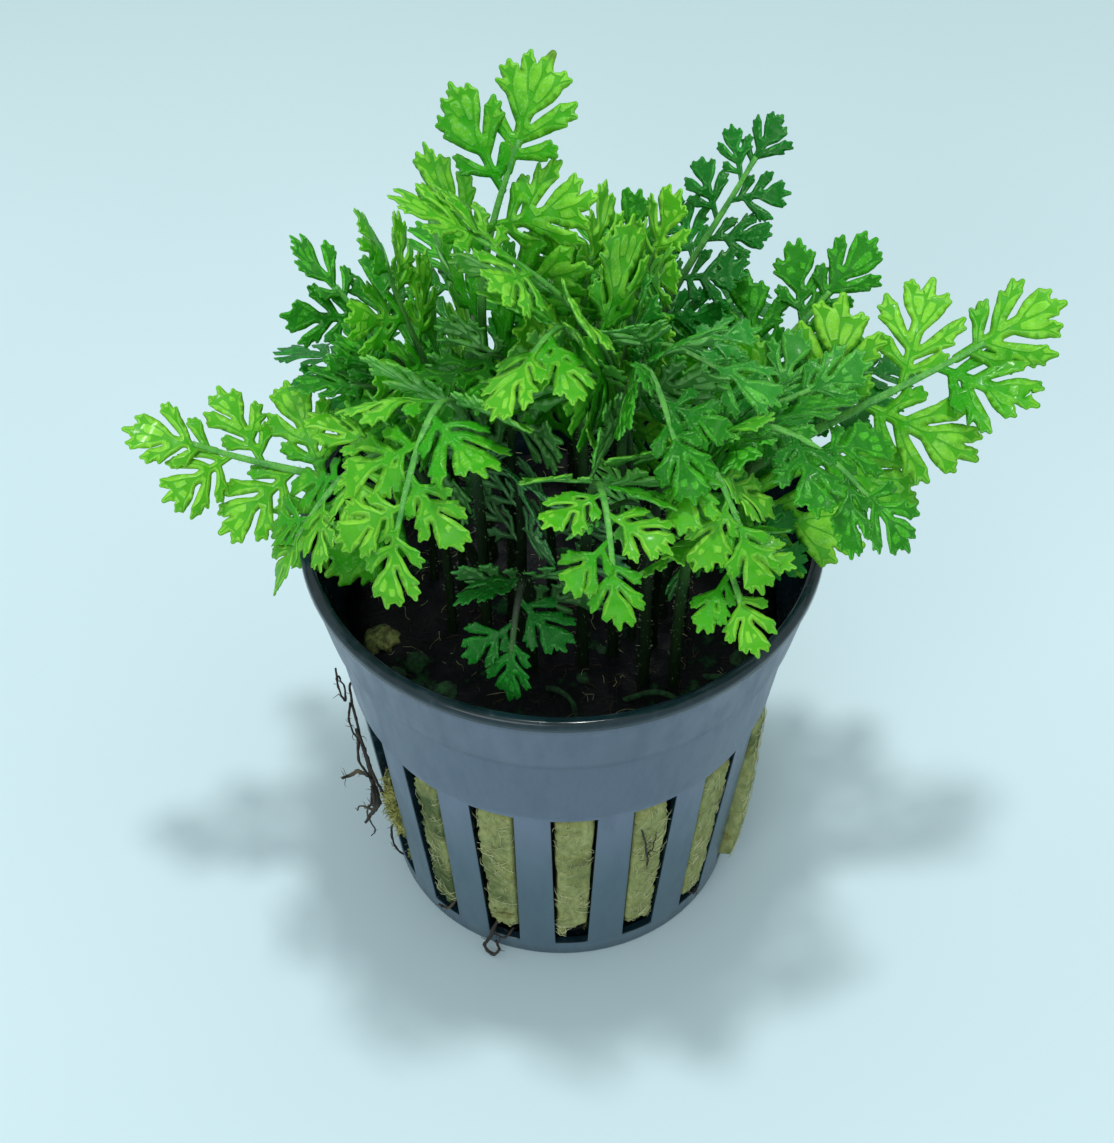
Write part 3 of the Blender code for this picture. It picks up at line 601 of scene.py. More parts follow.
def juicy_stalk(settings):
    """A living stalk: smooth green skin with a bloom of pale down, darker at its wet foot and painted near
    black as shade low in the middle of the bush.
    """
    material, tree, surface, place = new_material("juicy_stalk")
    streak = grain(tree, place, 1.1, 4.0, 0.6, (1.0, 1.0, 0.3))
    down_and_glint_specks = grain(tree, place, 0.25, 2.0)
    base = blended(tree, faded(tree, streak, 0.35, 0.7), settings.stalk, linear("#2f7a2c"))
    base = blended(tree, faded(tree, down_and_glint_specks, 0.5, 0.75, 0.0, 0.16), base, settings.hair)
    # Painted shade, partly the wet foot's own dark colour: near black low in the middle of the bush.
    foot = painted_bush_shade(tree, place, 0.090, 0.016, 0.023, 0.97)
    base = blended(tree, foot, base, linear("#040c05"))
    bump = add_node(tree, "ShaderNodeBump", {"Height": down_and_glint_specks, "Strength": 0.5, "Distance": 0.00008})
    shader = add_node(
        tree,
        "ShaderNodeBsdfPrincipled",
        {"Base Color": base, "Roughness": 0.5, "Specular IOR Level": 0.3, "Normal": bump.outputs[0]},
    )
    tree.links.new(shader.outputs[0], surface)
    return material


def painted_floor(settings):
    """A matt painted board: plain and pale, so that shadows read softly on it, and painted darker towards the
    back as painted shade where the lamp's light falls off.
    """
    material, tree, surface, place = new_material("painted_floor")
    drift = grain(tree, place, 90.0, 2.0)
    base = blended(tree, faded(tree, drift, 0.35, 0.65, 0.0, 0.25), settings.floor, linear("#a5bbc2"))
    # Painted shade: darker towards the back, where the lamp's light falls off.
    far = add_node(tree, "ShaderNodeSeparateXYZ", {"Vector": place}).outputs["Y"]
    base = blended(tree, faded(tree, far, 0.03, 0.26, 0.0, 0.6), base, linear("#7f9694"))
    shader = add_node(tree, "ShaderNodeBsdfPrincipled", {"Base Color": base, "Roughness": 0.85})
    tree.links.new(shader.outputs[0], surface)
    return material


def unit(vector):
    return vector / (np.linalg.norm(vector) + 1e-12)


class Mould:
    """Gathers points in millimetres, faces, face materials and point values into one mesh object."""

    def __init__(self):
        self.points = []
        self.faces = []
        self.slots = []
        self.values = {}
        self.count = 0

    def add(self, points, faces, slot=0, **values):
        points = np.asarray(points, float).reshape(-1, 3)
        self.faces += [tuple(int(i) + self.count for i in face) for face in faces]
        self.slots += [slot] * len(faces)
        for name in sorted(set(values) | set(self.values)):
            known = self.values.setdefault(name, [np.zeros(self.count)])
            known.append(np.broadcast_to(values.get(name, 0.0), len(points)).astype(float))
        self.points.append(points)
        self.count += len(points)

    def make(self, name, materials):
        mesh = bpy.data.meshes.new(name)
        mesh.from_pydata(np.concatenate(self.points) * MM, [], self.faces)
        for label, parts in self.values.items():
            made = mesh.attributes.new(label, "FLOAT", "POINT")
            made.data.foreach_set("value", np.concatenate(parts).astype(np.float32))
        for material in materials:
            mesh.materials.append(material)
        mesh.polygons.foreach_set("material_index", self.slots)
        mesh.shade_smooth()
        obj = bpy.data.objects.new(name, mesh)
        bpy.context.scene.collection.objects.link(obj)
        return obj


def tube(points, radii, sides, flat=1.0, reference=None, groove=0.0):
    """Points and faces of a tube along a line. flat squeezes it across the reference's plane, and
    groove sinks its upper side."""
    points = np.asarray(points, float)
    radii = np.broadcast_to(radii, len(points))
    along = np.gradient(points, axis=0)
    normal = UP if reference is None else np.asarray(reference, float)
    rings = []
    for point, way, radius in zip(points, along, radii):
        way = unit(way)
        normal = normal - way * (normal @ way)
        if np.linalg.norm(normal) < 1e-6:
            normal = np.cross(way, (1.0, 0.0, 0.0))
        normal = unit(normal)
        side = np.cross(way, normal)
        for i in range(sides):
            turn = 2 * math.pi * i / sides
            up = math.cos(turn)
            dent = 1 - groove * math.exp(-((1 - up) / 0.25) ** 2) if groove else 1
            rings.append(point + radius * (side * math.sin(turn) + normal * up * flat * dent))
    count = len(points)
    faces = []
    for ring, i in itertools.product(range(count - 1), range(sides)):
        a, b = ring * sides + i, ring * sides + (i + 1) % sides
        faces.append((a, b, b + sides, a + sides))
    faces.append(tuple(range(sides - 1, -1, -1)))
    faces.append(tuple((count - 1) * sides + i for i in range(sides)))
    return np.array(rings), faces


def smooth_course(points, steps):
    """A Catmull-Rom curve through the points, with the same number of steps in every stretch."""
    points = [np.asarray(p, float) for p in points]
    ends = [2 * points[0] - points[1]] + points + [2 * points[-1] - points[-2]]
    course = []
    for before, start, end, after in zip(ends, ends[1:], ends[2:], ends[3:]):
        for step in range(steps):
            t = step / steps
            second = 2 * before - 5 * start + 4 * end - after
            third = 3 * start - before - 3 * end + after
            course.append(start + (end - before + second * t + third * t * t) * (t / 2))
    return np.array(course + [points[-1]])


def wall_radius(height):
    """The pot's outer radius at a height, in millimetres, where the slots are."""
    return BASE_RADIUS + (BAND_FOOT_RADIUS - BAND_PROUD - BASE_RADIUS) * height / BAND_FOOT


def slot_angle(index):
    """The middle of a slot in radians from +X, counted from the front one to the right."""
    return math.radians(-90 + SLOT_PHASE + index * 360 / SLOT_COUNT)


def slot_half_angle(radius, height):
    share = min(1.0, max(0.0, (height - SLOT_FOOT) / (SLOT_TOP - SLOT_FOOT)))
    width = SLOT_FOOT_WIDTH + (SLOT_TOP_WIDTH - SLOT_FOOT_WIDTH) * share
    return math.asin(width / 2 / radius)


def on_wall(slot, offset, proud, height):
    """A point at an angle in degrees round from a slot's middle, proud of the wall by a distance."""
    turn = slot_angle(slot) + math.radians(offset)
    radius = wall_radius(height) + proud
    return np.array([radius * math.cos(turn), radius * math.sin(turn), height])


def pot_rows():
    """The pot's closed outline as (radius, height, part) from the floor's inside over the lip to the
    underside, with the same rows inside and outside the slots."""
    band_top_radius = COLLAR_FOOT_RADIUS - COLLAR_PROUD
    collar_top = POT_HEIGHT - LIP_DEPTH
    lip_inner = RIM_RADIUS - LIP_WIDTH
    slot_rows = np.linspace(SLOT_FOOT, SLOT_TOP, 14)
    rows = [(r, POT_FLOOR, "floor") for r in (14.5, 16.5)]
    rows += [(wall_radius(POT_FLOOR) - POT_WALL, POT_FLOOR, "floor")]
    rows += [(wall_radius(h) - POT_WALL, h, "slot") for h in slot_rows]
    rows += [(wall_radius(BAND_FOOT) - POT_WALL, BAND_FOOT, "wall")]
    rows += [(band_top_radius - POT_WALL, COLLAR_FOOT, "lip")]
    rows += [(lip_inner - 0.12, collar_top - 0.7, "lip"), (lip_inner, collar_top - 0.1, "lip")]
    for step in range(9):
        turn = math.pi * step / 8
        middle = (lip_inner + RIM_RADIUS) / 2
        bend = math.sin(turn) ** 0.7 * 0.55
        rows.append((middle - math.cos(turn) * LIP_WIDTH / 2, POT_HEIGHT - 0.55 + bend, "lip"))
    rows += [(RIM_RADIUS, collar_top - 0.05, "lip"), (RIM_RADIUS - 0.22, collar_top - 0.3, "wall")]
    steps = 6
    for step in range(1, steps):
        share = step / steps
        radius = RIM_RADIUS - 0.22 + (COLLAR_FOOT_RADIUS - RIM_RADIUS + 0.22) * share
        rows.append((radius, collar_top - 0.3 - (collar_top - 0.3 - COLLAR_FOOT) * share, "wall"))
    rows += [(COLLAR_FOOT_RADIUS, COLLAR_FOOT + 0.12, "wall")]
    rows += [(COLLAR_FOOT_RADIUS - 0.10, COLLAR_FOOT, "wall")]
    rows += [(band_top_radius, COLLAR_FOOT - 0.22, "wall")]
    rows += [(BAND_FOOT_RADIUS + 0.02, BAND_FOOT + STEP_CHAMFER, "wall")]
    rows += [(wall_radius(BAND_FOOT) + 0.02, BAND_FOOT, "wall")]
    rows += [(wall_radius(h), h, "slot") for h in slot_rows[::-1]]
    rows += [(wall_radius(0.25), 0.25, "wall"), (BASE_RADIUS - 0.25, 0.0, "floor")]
    rows += [(r, 0.0, "floor") for r in (16.5, 14.5)]
    return rows


def pot_wall(mould):
    """The pot's turned wall with its slots left open and their cheeks closed."""
    rows = pot_rows()
    slot_columns, rib_columns = 6, 8
    columns = slot_columns + rib_columns
    around = SLOT_COUNT * columns
    points = []
    for radius, height, _ in rows:
        reach = max(radius, 17.0)
        half = slot_half_angle(reach, height)
        pitch = 2 * math.pi / SLOT_COUNT
        for slot, column in itertools.product(range(SLOT_COUNT), range(columns)):
            if column < slot_columns:
                turn = -half + 2 * half * column / slot_columns
            else:
                turn = half + (pitch - 2 * half) * (column - slot_columns) / rib_columns
            turn += slot_angle(slot)
            points.append((radius * math.cos(turn), radius * math.sin(turn), height))
    slot_row = [i for i, row in enumerate(rows) if row[2] == "slot"]
    inner = slot_row[: len(slot_row) // 2]
    outer = slot_row[len(slot_row) // 2 :][::-1]
    open_rows = set(inner[:-1]) | set(outer[1:])
    last_lip = max(i for i, row in enumerate(rows) if row[2] == "lip")
    faces, slots = [], []
    for row, slot, column in itertools.product(range(len(rows) - 1), range(SLOT_COUNT), range(columns)):
        if column < slot_columns and row in open_rows:
            continue
        a = row * around + slot * columns + column
        b = row * around + (slot * columns + column + 1) % around
        faces.append((a, b, b + around, a + around))
        # The pot's inside and its lip get the dark plastic: painted shade on the inside wall and floor.
        slots.append(DARK_LIP_AND_SHADE if row < last_lip else MATT)
    # The slots' cheeks get the dark plastic as painted shade.
    for slot in range(SLOT_COUNT):
        first = slot * columns
        for column, flip in ((first, False), (first + slot_columns, True)):
            for k in range(len(inner) - 1):
                a, b = inner[k] * around + column, inner[k + 1] * around + column
                c, d = outer[k + 1] * around + column, outer[k] * around + column
                faces.append((a, b, c, d) if flip else (d, c, b, a))
                slots.append(DARK_LIP_AND_SHADE)
        for k, flip in ((0, True), (-1, False)):
            for column in range(first, first + slot_columns):
                a, b = inner[k] * around + column, inner[k] * around + column + 1
                c, d = outer[k] * around + column + 1, outer[k] * around + column
                faces.append((a, b, c, d) if flip else (d, c, b, a))
                slots.append(DARK_LIP_AND_SHADE)
    mould.add(points, faces)
    mould.slots[-len(faces) :] = slots


def pot_floor(mould):
    """The slotted floor inside the wall: a ring of bars between the drains, a hub and an outer ring."""
    sides, rings = 14 * SLOT_COUNT, (0.0, 3.0, DRAIN_INNER_RADIUS, 8.1, 10.2, 12.3, DRAIN_OUTER_RADIUS)
    for height, flip in ((0.0, True), (POT_FLOOR, False)):
        points = []
        for radius, i in itertools.product(rings, range(sides)):
            turn = drain_turn(radius, i, sides)
            points.append((radius * math.cos(turn), radius * math.sin(turn), height))
        faces = []
        for ring, i in itertools.product(range(len(rings) - 1), range(sides)):
            if ring >= 2 and i % (sides // DRAIN_COUNT) < DRAIN_COLUMNS:
                continue
            a, b = ring * sides + i, ring * sides + (i + 1) % sides
            face = (a, b, b + sides, a + sides)
            faces.append(face[::-1] if flip else face)
        mould.add(points, faces)
    for k in range(DRAIN_COUNT):
        middle = 2 * math.pi * k / DRAIN_COUNT
        for edge in (-1, 1):
            near, far = (drain_edge(r, edge, middle) for r in (DRAIN_INNER_RADIUS, DRAIN_OUTER_RADIUS))
            cheek = [(*near, 0.0), (*far, 0.0), (*far, POT_FLOOR), (*near, POT_FLOOR)]
            mould.add(cheek, [(0, 1, 2, 3)])
        for radius in (DRAIN_INNER_RADIUS, DRAIN_OUTER_RADIUS):
            left, right = (drain_edge(radius, edge, middle) for edge in (-1, 1))
            mould.add([(*left, 0.0), (*right, 0.0), (*right, POT_FLOOR), (*left, POT_FLOOR)], [(0, 1, 2, 3)])


def drain_edge(radius, edge, middle):
    turn = middle + edge * math.asin(DRAIN_WIDTH / 2 / radius)
    return radius * math.cos(turn), radius * math.sin(turn)


def drain_turn(radius, column, sides):
    """The angle of a floor column, so that the drains' edges run straight."""
    each = sides // DRAIN_COUNT
    half = math.asin(DRAIN_WIDTH / 2 / max(radius, DRAIN_INNER_RADIUS))
    pitch = 2 * math.pi / DRAIN_COUNT
    drain, place = divmod(column, each)
    if place < DRAIN_COLUMNS:
        turn = -half + 2 * half * place / DRAIN_COLUMNS
    else:
        turn = half + (pitch - 2 * half) * (place - DRAIN_COLUMNS) / (each - DRAIN_COLUMNS)
    return drain * pitch + turn


class FERN_OT_pot(bpy.types.Operator):
    """Builds the slotted net pot with its rolled lip, steps and drained floor"""

    bl_idname = "fern.pot"
    bl_label = "Net pot"

    def execute(self, context):
        settings = context.scene.fern_pot
        mould = Mould()
        pot_wall(mould)
        pot_floor(mould)
        pot = mould.make("pot_detail", [moulded_polypropylene(settings), dark_lip_and_shade_plastic(settings)])
        bevel = pot.modifiers.new("edges", "BEVEL")
        bevel.width = settings.edge_radius
        bevel.segments = 2
        bevel.limit_method = "ANGLE"
        bevel.angle_limit = math.radians(55)
        bevel.harden_normals = False
        pot.data.set_sharp_from_angle(angle=math.radians(50))
        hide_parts("pot")
        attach(pot, "root")
        return {"FINISHED"}


def lumps(point, pitch, height):
    """A rolling height at a point, for wool that was torn and pressed by hand."""
    return height * noise.noise(Vector(point) / pitch)


def slot_place(turn, height):
    """The nearest slot, the share of its half width from its middle, and the share of its height."""
    pitch = 2 * math.pi / SLOT_COUNT
    index = round((turn - slot_angle(0)) / pitch)
    offset = (turn - slot_angle(index)) / slot_half_angle(wall_radius(height), height)
    rise = (height - SLOT_FOOT) / (SLOT_TOP - SLOT_FOOT)
    return (index + SLOT_COUNT // 2) % SLOT_COUNT - SLOT_COUNT // 2, offset, rise


def wool_sunk_and_shade(turn, height):
    """How far the wool has sunk at a place on its side and how much painted shade darkens it there, from 0 to
    1, with ragged borders; 1 outside the slots.
    """
    index, offset, rise = slot_place(turn, height)
    if abs(offset) > 1 or not 0 < rise < 1:
        return 1.0
    left, right, foot, _ = WOOL_GAPS_SHADE_AND_STAIN.get(index, COMMON_GAPS_SHADE_AND_STAIN)
    spot = Vector((20 * math.cos(turn), 20 * math.sin(turn), height))
    rag = 1 + 0.9 * noise.noise(spot / 2.6) + 0.7 * noise.noise(spot / 0.7)
    beside = max(left * rag - offset - 1, right * rag + offset - 1) / 0.12
    sunk = max(beside, (foot * rag - rise) / 0.02)
    return min(1.0, max(0.0, 0.5 + sunk))


def wool_radius(turn, height, settings):
    """The wool's radius: inside the wall under the ribs, swollen into each slot."""
    base = wall_radius(height) - POT_WALL - 0.35
    index, offset, rise = slot_place(turn, height)
    if abs(offset) >= 1 or not 0 < rise < 1:
        return base
    amount = settings.pillow / MM
    if index in BULGE_SLOTS:
        amount += (settings.bulge / MM - amount) * min(1.0, 1.5 - 1.3 * rise)
    crown = (1 - abs(offset) ** 16) * (1 - abs(2 * rise - 1) ** 24)
    return base + amount * crown - 1.0 * wool_sunk_and_shade(turn, height)


def wool_sides(mould, settings):
    """The plug's side, from its rounded foot to its top edge."""
    columns, rows = 36 * SLOT_COUNT, 150
    heights = np.linspace(WOOL_FOOT, WOOL_TOP - WOOL_EDGE_DROP, rows)
    points, sunk, stained = [], [], []
    for height, column in itertools.product(heights, range(columns)):
        turn = slot_angle(0) + 2 * math.pi * column / columns
        radius = wool_radius(turn, height, settings)
        radius -= 1.2 * max(0.0, 1 - (height - WOOL_FOOT) / 2.2) ** 2
        point = np.array([radius * math.cos(turn), radius * math.sin(turn), height])
        shift = lumps(point, 2.6, 0.22) + lumps(point, 0.9, 0.10)
        point[:2] *= 1 + shift / radius
        points.append(point)
        index, offset, _ = slot_place(turn, height)
        sunk.append(wool_sunk_and_shade(turn, height))
        stained.append(WOOL_GAPS_SHADE_AND_STAIN.get(index, COMMON_GAPS_SHADE_AND_STAIN)[3] * min(1.0, 1.1 - 0.4 * offset))
    faces = []
    for row, column in itertools.product(range(rows - 1), range(columns)):
        a, b = row * columns + column, row * columns + (column + 1) % columns
        faces.append((a, b, b + columns, a + columns))
    faces.append(tuple(range(columns - 1, -1, -1)))
    # The sunk value also sets the painted shade on the wool's side.
    mould.add(points, faces, FELT, sunk=np.array(sunk), stained=np.array(stained))


def wool_top(mould):
    """The plug's torn top, in lumps, from its edge to its middle."""
    columns, rings = 24 * SLOT_COUNT // 2, 34
    edge = wall_radius(BAND_FOOT) - POT_WALL - 0.35 + 1.3
    points = []
    for ring, column in itertools.product(range(rings), range(columns)):
        share = 1 - ring / rings
        radius = edge * share
        turn = slot_angle(0) + 2 * math.pi * column / columns
        point = np.array([radius * math.cos(turn), radius * math.sin(turn), WOOL_TOP])
        point[2] += lumps(point, WOOL_LUMP_PITCH, WOOL_LUMPS) + lumps(point, 1.7, 0.35)
        point[2] -= WOOL_EDGE_DROP * max(0.0, (radius - 19.5) / (edge - 19.5)) ** 2
        points.append(point)
    points.append((0.0, 0.0, WOOL_TOP))
    faces = []
    for ring, column in itertools.product(range(rings - 1), range(columns)):
        a, b = ring * columns + column, ring * columns + (column + 1) % columns
        faces.append((a, b, b + columns, a + columns))
    last = (rings - 1) * columns
    faces += [(last + i, last + (i + 1) % columns, rings * columns) for i in range(columns)]
    mould.add(points, faces, SHADED_WET_TOP)


def strand(rng, start, way, reach, bend, steps=5):
    """A loose, wandering line of points from a start."""
    points = [np.asarray(start, float)]
    way = unit(np.asarray(way, float))
    for _ in range(steps):
        way = unit(way + rng.normal(0, bend, 3))
        points.append(points[-1] + way * reach / steps)
    return np.array(points)


def side_fibres(mould, rng, settings):
    """Short fibres that lie on the wool in the slots and stick out a little."""
    for _ in range(settings.fibres):
        slot = int(rng.integers(0, SLOT_COUNT))
        height = rng.uniform(SLOT_FOOT + 1.5, SLOT_TOP - 0.8)
        turn = slot_angle(slot) + rng.uniform(-0.92, 0.92) * slot_half_angle(wall_radius(height), height)
        if wool_sunk_and_shade(turn, height) > 0.4:
            continue
        lean = rng.normal(0, 0.8)
        rise = math.cos(lean)
        span = rng.uniform(0.8, 2.6)
        points = []
        for step in range(5):
            share = step / 4
            z = min(SLOT_TOP - 0.6, max(SLOT_FOOT + 1.3, height + rise * span * (share - 0.5)))
            half = slot_half_angle(wall_radius(z), z) * 0.95
            angle = turn + math.sin(lean) * span * (share - 0.5) / wall_radius(z) + rng.normal(0, 0.003)
            middle = slot_angle(slot)
            angle = min(middle + half, max(middle - half, angle))
            radius = max(wool_radius(angle, z, settings), wool_radius(turn, height, settings) - 0.2)
            radius += 0.06 + 0.16 * math.sin(math.pi * share) * rng.uniform(0.2, 1)
            points.append((radius * math.cos(angle), radius * math.sin(angle), z))
        rings, faces = tube(points, (0.018, 0.03, 0.03, 0.03, 0.012), 3)
        mould.add(rings, faces, STONE_FIBRE)


def top_fibres(mould, rng, settings):
    """Torn fibres and dead root hairs that curl over the wool's top."""
    for _ in range(settings.fibres // 2):
        radius, turn = 20.5 * math.sqrt(rng.uniform(0, 1)), rng.uniform(0, 2 * math.pi)
        start = np.array([radius * math.cos(turn), radius * math.sin(turn), WOOL_TOP - 0.2])
        start[2] += lumps(start, WOOL_LUMP_PITCH, WOOL_LUMPS)
        way = (rng.normal(), rng.normal(), rng.uniform(0.0, 0.7))
        points = strand(rng, start, way, rng.uniform(1.0, 3.2), 0.35)
        points[:, 2] = np.minimum(points[:, 2], start[2] + 0.9)
        rings, faces = tube(points, rng.uniform(0.02, 0.05), 3)
        mould.add(rings, faces, ROOT_HAIR if rng.uniform() < 0.7 else STONE_FIBRE)


def moss_lumps(mould, rng):
    """Rounded tufts of moss and a beige crumb on the wool, mostly at the left of the mouth."""
    spots = [(-18.0, -6.5, 1.9, CRUMB), (-14.5, -9.5, 1.3, MOSS), (-16.5, -11.0, 1.1, MOSS)]
    spots += [(-11.5, -13.0, 1.2, MOSS), (-13.0, -15.5, 0.9, MOSS), (-6.5, -17.5, 0.9, MOSS)]
    spots += [(13.5, -15.0, 0.9, MOSS), (17.5, -9.0, 1.0, MOSS)]
    for _ in range(12):
        radius, turn = rng.uniform(4, 20), rng.uniform(0, 2 * math.pi)
        spots.append((radius * math.cos(turn), radius * math.sin(turn), rng.uniform(0.5, 1.1), MOSS))
    for x, y, size, slot in spots:
        ground = WOOL_TOP + lumps((x, y, WOOL_TOP), WOOL_LUMP_PITCH, WOOL_LUMPS)
        centre = np.array([x, y, ground - 0.1 * size])
        sides, rows = 22, 11
        points = []
        for row, side in itertools.product(range(rows), range(sides)):
            tilt = math.pi * (row + 0.5) / rows
            turn = 2 * math.pi * side / sides
            way = np.array([math.sin(tilt) * math.cos(turn), math.sin(tilt) * math.sin(turn), math.cos(tilt)])
            skin = Vector(centre + way * size)
            swell = 1 + 0.35 * noise.noise(skin / 0.9) + 0.15 * noise.noise(skin / 0.3)
            points.append(centre + way * size * swell * np.array([1, 1, 0.62]))
        faces = []
        for row, side in itertools.product(range(rows - 1), range(sides)):
            a, b = row * sides + side, row * sides + (side + 1) % sides
            faces.append((a, a + sides, b + sides, b))
        faces.append(tuple(range(sides)))
        faces.append(tuple((rows - 1) * sides + i for i in range(sides - 1, -1, -1)))
        mould.add(points, faces, slot)


def dead_stems(mould, rng):
    """A few old, bent leaf stalks that lie in the mouth between the living ones."""
    for course in DEAD_STEMS:
        points = smooth_course(course, 6)
        radii = np.linspace(0.34, 0.2, len(points)) * rng.uniform(0.9, 1.1, len(points))
        rings, faces = tube(points, radii, 8)
        mould.add(rings, faces, MOSS)


def wool_tuft(mould, rng):
    """The yellowish tuft that has worked out of a slot at the left."""
    for _ in range(2600):
        height = float(np.clip(rng.normal(13.2, 1.5), 10.2, 17.2))
        start = on_wall(-3, rng.uniform(-5.4, 5.0), rng.uniform(-1.6, -0.2), height)
        out = unit(np.array([start[0], start[1], 0.0]))
        way = out * 0.8 + rng.normal(0, 0.8, 3) + np.array([0, 0, -0.1])
        points = strand(rng, start, way, rng.uniform(0.9, 1.9), 0.6)
        rings, faces = tube(points, (0.05, 0.06, 0.06, 0.05, 0.04, 0.015), 3)
        mould.add(rings, faces, TUFT)


class FERN_OT_rock_wool(bpy.types.Operator):
    """Builds the plug of rock wool with its fibres, moss and the tuft at the left"""

    bl_idname = "fern.rock_wool"
    bl_label = "Rock wool"

    def execute(self, context):
        settings = context.scene.fern_wool
        rng = np.random.default_rng(7)
        plug = Mould()
        wool_sides(plug, settings)
        wool_top(plug)
        materials = [
            felted_rock_wool(settings),
            wet_wool_top_in_painted_shade(settings),
            plain_fibre("stone_fibre", linear("#7d8456"), linear("#b4b78c"), 0.7, 3.0),
            plain_fibre("dead_root_hair", linear("#1c150c"), linear("#4a3a20"), 0.8, 3.0),
            plain_fibre("stained_wool_tuft", linear("#6b7030"), linear("#a8a860"), 0.9, 2.0),
            plain_fibre("cushion_moss", linear("#0a2412"), linear("#174a20"), 0.9, 0.5),
            plain_fibre("dried_moss_crumb", linear("#3c4520"), linear("#7a8248"), 0.9, 0.6),
        ]
        body = plug.make("rock_wool_detail", materials[:2])
        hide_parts("rock_wool")
        strands = Mould()
        side_fibres(strands, rng, settings)
        top_fibres(strands, rng, settings)
        moss_lumps(strands, rng)
        dead_stems(strands, rng)
        wool_tuft(strands, rng)
        loose = strands.make("wool_fibres_and_moss", materials)
        for piece in (body, loose):
            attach(piece, "root")
        return {"FINISHED"}


class FERN_OT_roots(bpy.types.Operator):
    """Builds the thick root and the fine ones that hang out of the slots"""

    bl_idname = "fern.roots"
    bl_label = "Roots"

    def execute(self, context):
        settings = context.scene.fern_roots
        rng = np.random.default_rng(11)
        noise.seed_set(11)  # without it noise_vector differs from run to run
        bark = root_bark(settings)
        thick = Mould()
        course = smooth_course([on_wall(ROOT_SLOT, *point) for point in ROOT_COURSE], 8)
        course = course + 0.10 * np.array([noise.noise_vector(Vector(p) / 0.9) for p in course])
        radius = settings.thickness / MM / 2
        along = np.linspace(0, 1, len(course))
        swell = np.interp(along, (0.0, 0.35, 0.6, 0.85, 1.0), (0.42, 0.5, 1.0, 0.95, 0.5))
        radii = radius * swell * rng.uniform(0.85, 1.15, len(course))
        thick.add(*tube(course, radii, 10))
        main = thick.make("root_detail", [bark])
        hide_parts("root")
        fine = Mould()
        for slot, course, start, end in FINE_ROOTS:
            line = smooth_course([on_wall(slot, *point) for point in course], 7)
            line = line + 0.14 * np.array([noise.noise_vector(Vector(p) / 0.8) for p in line])
            radii = np.linspace(start, end, len(line)) * rng.uniform(0.8, 1.2, len(line))
            fine.add(*tube(line, radii, 7))
            for _ in range(6):
                k = int(rng.integers(1, len(line) - 1))
                out = unit(np.array([line[k][0], line[k][1], 0.0]))
                way = out * 0.6 + rng.normal(0, 0.8, 3)
                hair = strand(rng, line[k], way, rng.uniform(0.4, 1.3), 0.5, 4)
                hair[:, 2] = np.maximum(hair[:, 2], 0.15)
                fine.add(*tube(hair, (0.05, 0.045, 0.04, 0.03, 0.015), 3))
        loose = fine.make("fine_roots", [bark])
        for piece in (main, loose):
            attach(piece, "root")
        return {"FINISHED"}


class Midrib:
    """A frond's stalk and midrib: a curve in the upright plane through its foot and its tip."""

    def __init__(self, frond):
        heading = math.radians(frond.azimuth)
        self.out = np.array([math.cos(heading), math.sin(heading), 0.0])
        self.side = np.array([math.sin(heading), -math.cos(heading), 0.0])
        foot = np.array([frond.x, frond.y, WOOL_TOP + STALK_FOOT_RISE])
        tip = np.array([frond.x, frond.y, frond.height]) + self.out * frond.reach
        rise = tip[2] - foot[2]
        chord = math.hypot(rise, frond.reach)
        pitch = math.radians(frond.pitch)
        bow = self.side * frond.sway
        low = foot + UP * frond.climb + bow
        high = tip - TIP_PULL * chord * (self.out * math.cos(pitch) + UP * math.sin(pitch)) + bow
        share = np.linspace(0, 1, CURVE_STEPS + 1)[:, None]
        rest = 1 - share
        self.roll = math.radians(frond.roll)
        self.points = rest**3 * foot + 3 * rest**2 * share * low + 3 * rest * share**2 * high + share**3 * tip
        steps = np.linalg.norm(np.diff(self.points, axis=0), axis=1)
        self.lengths = np.concatenate([[0], np.cumsum(steps)])
        self.length = self.lengths[-1]

    def place(self, distance):
        return np.array([np.interp(distance, self.lengths, self.points[:, i]) for i in range(3)])

    def at(self, distance):
        """The point, the way along, the way across and the upper side at a distance from the foot."""
        along = unit(self.place(distance + SLOPE_STEP) - self.place(distance - SLOPE_STEP))
        level = unit(self.side - along * (self.side @ along))
        across = math.cos(self.roll) * level - math.sin(self.roll) * np.cross(level, along)
        return self.place(distance), along, across, np.cross(across, along)


Stance = namedtuple("Stance", "origin axis width face length")


def stance(midrib, distance, side, angle, lift, size):
    """Where a leaflet starts, its three directions and its length."""
    origin, along, across, upper = midrib.at(distance)
    angle, lift = math.radians(angle), math.radians(lift)
    outward = math.cos(lift) * side * across + math.sin(lift) * upper
    face = math.cos(lift) * upper - math.sin(lift) * side * across
    axis = math.cos(angle) * along + math.sin(angle) * outward
    return Stance(origin, axis, np.cross(face, axis), face, size)


def on_leaflet(held, run, off, rise):
    """Points of a leaflet from shares along and across it and a rise over it in millimetres."""
    drop = LEAFLET_CURL * run * run * held.length
    return (
        held.origin
        + held.length * (run[:, None] * held.axis + off[:, None] * held.width)
        + (rise - drop)[:, None] * held.face
    )


def settled(midrib, distance, side, angle, lift, size, corners):
    """The leaflet's stance that its solid took to stay clear of its neighbours, and how well it fits."""
    best, least = None, 1e9
    run, off = np.array(OUTLINE).T
    for share, swing, turn in itertools.product(CLEARING_SIZES, CLEARING_SWINGS, CLEARING_TURNS):
        held = stance(midrib, distance, side, angle + swing, lift + turn, share * size)
        tips = on_leaflet(held, run, off, np.zeros(5))
        gap = max(corners.find(tip)[2] for tip in tips)
        if gap < least:
            best, least = held, gap
    return best, least


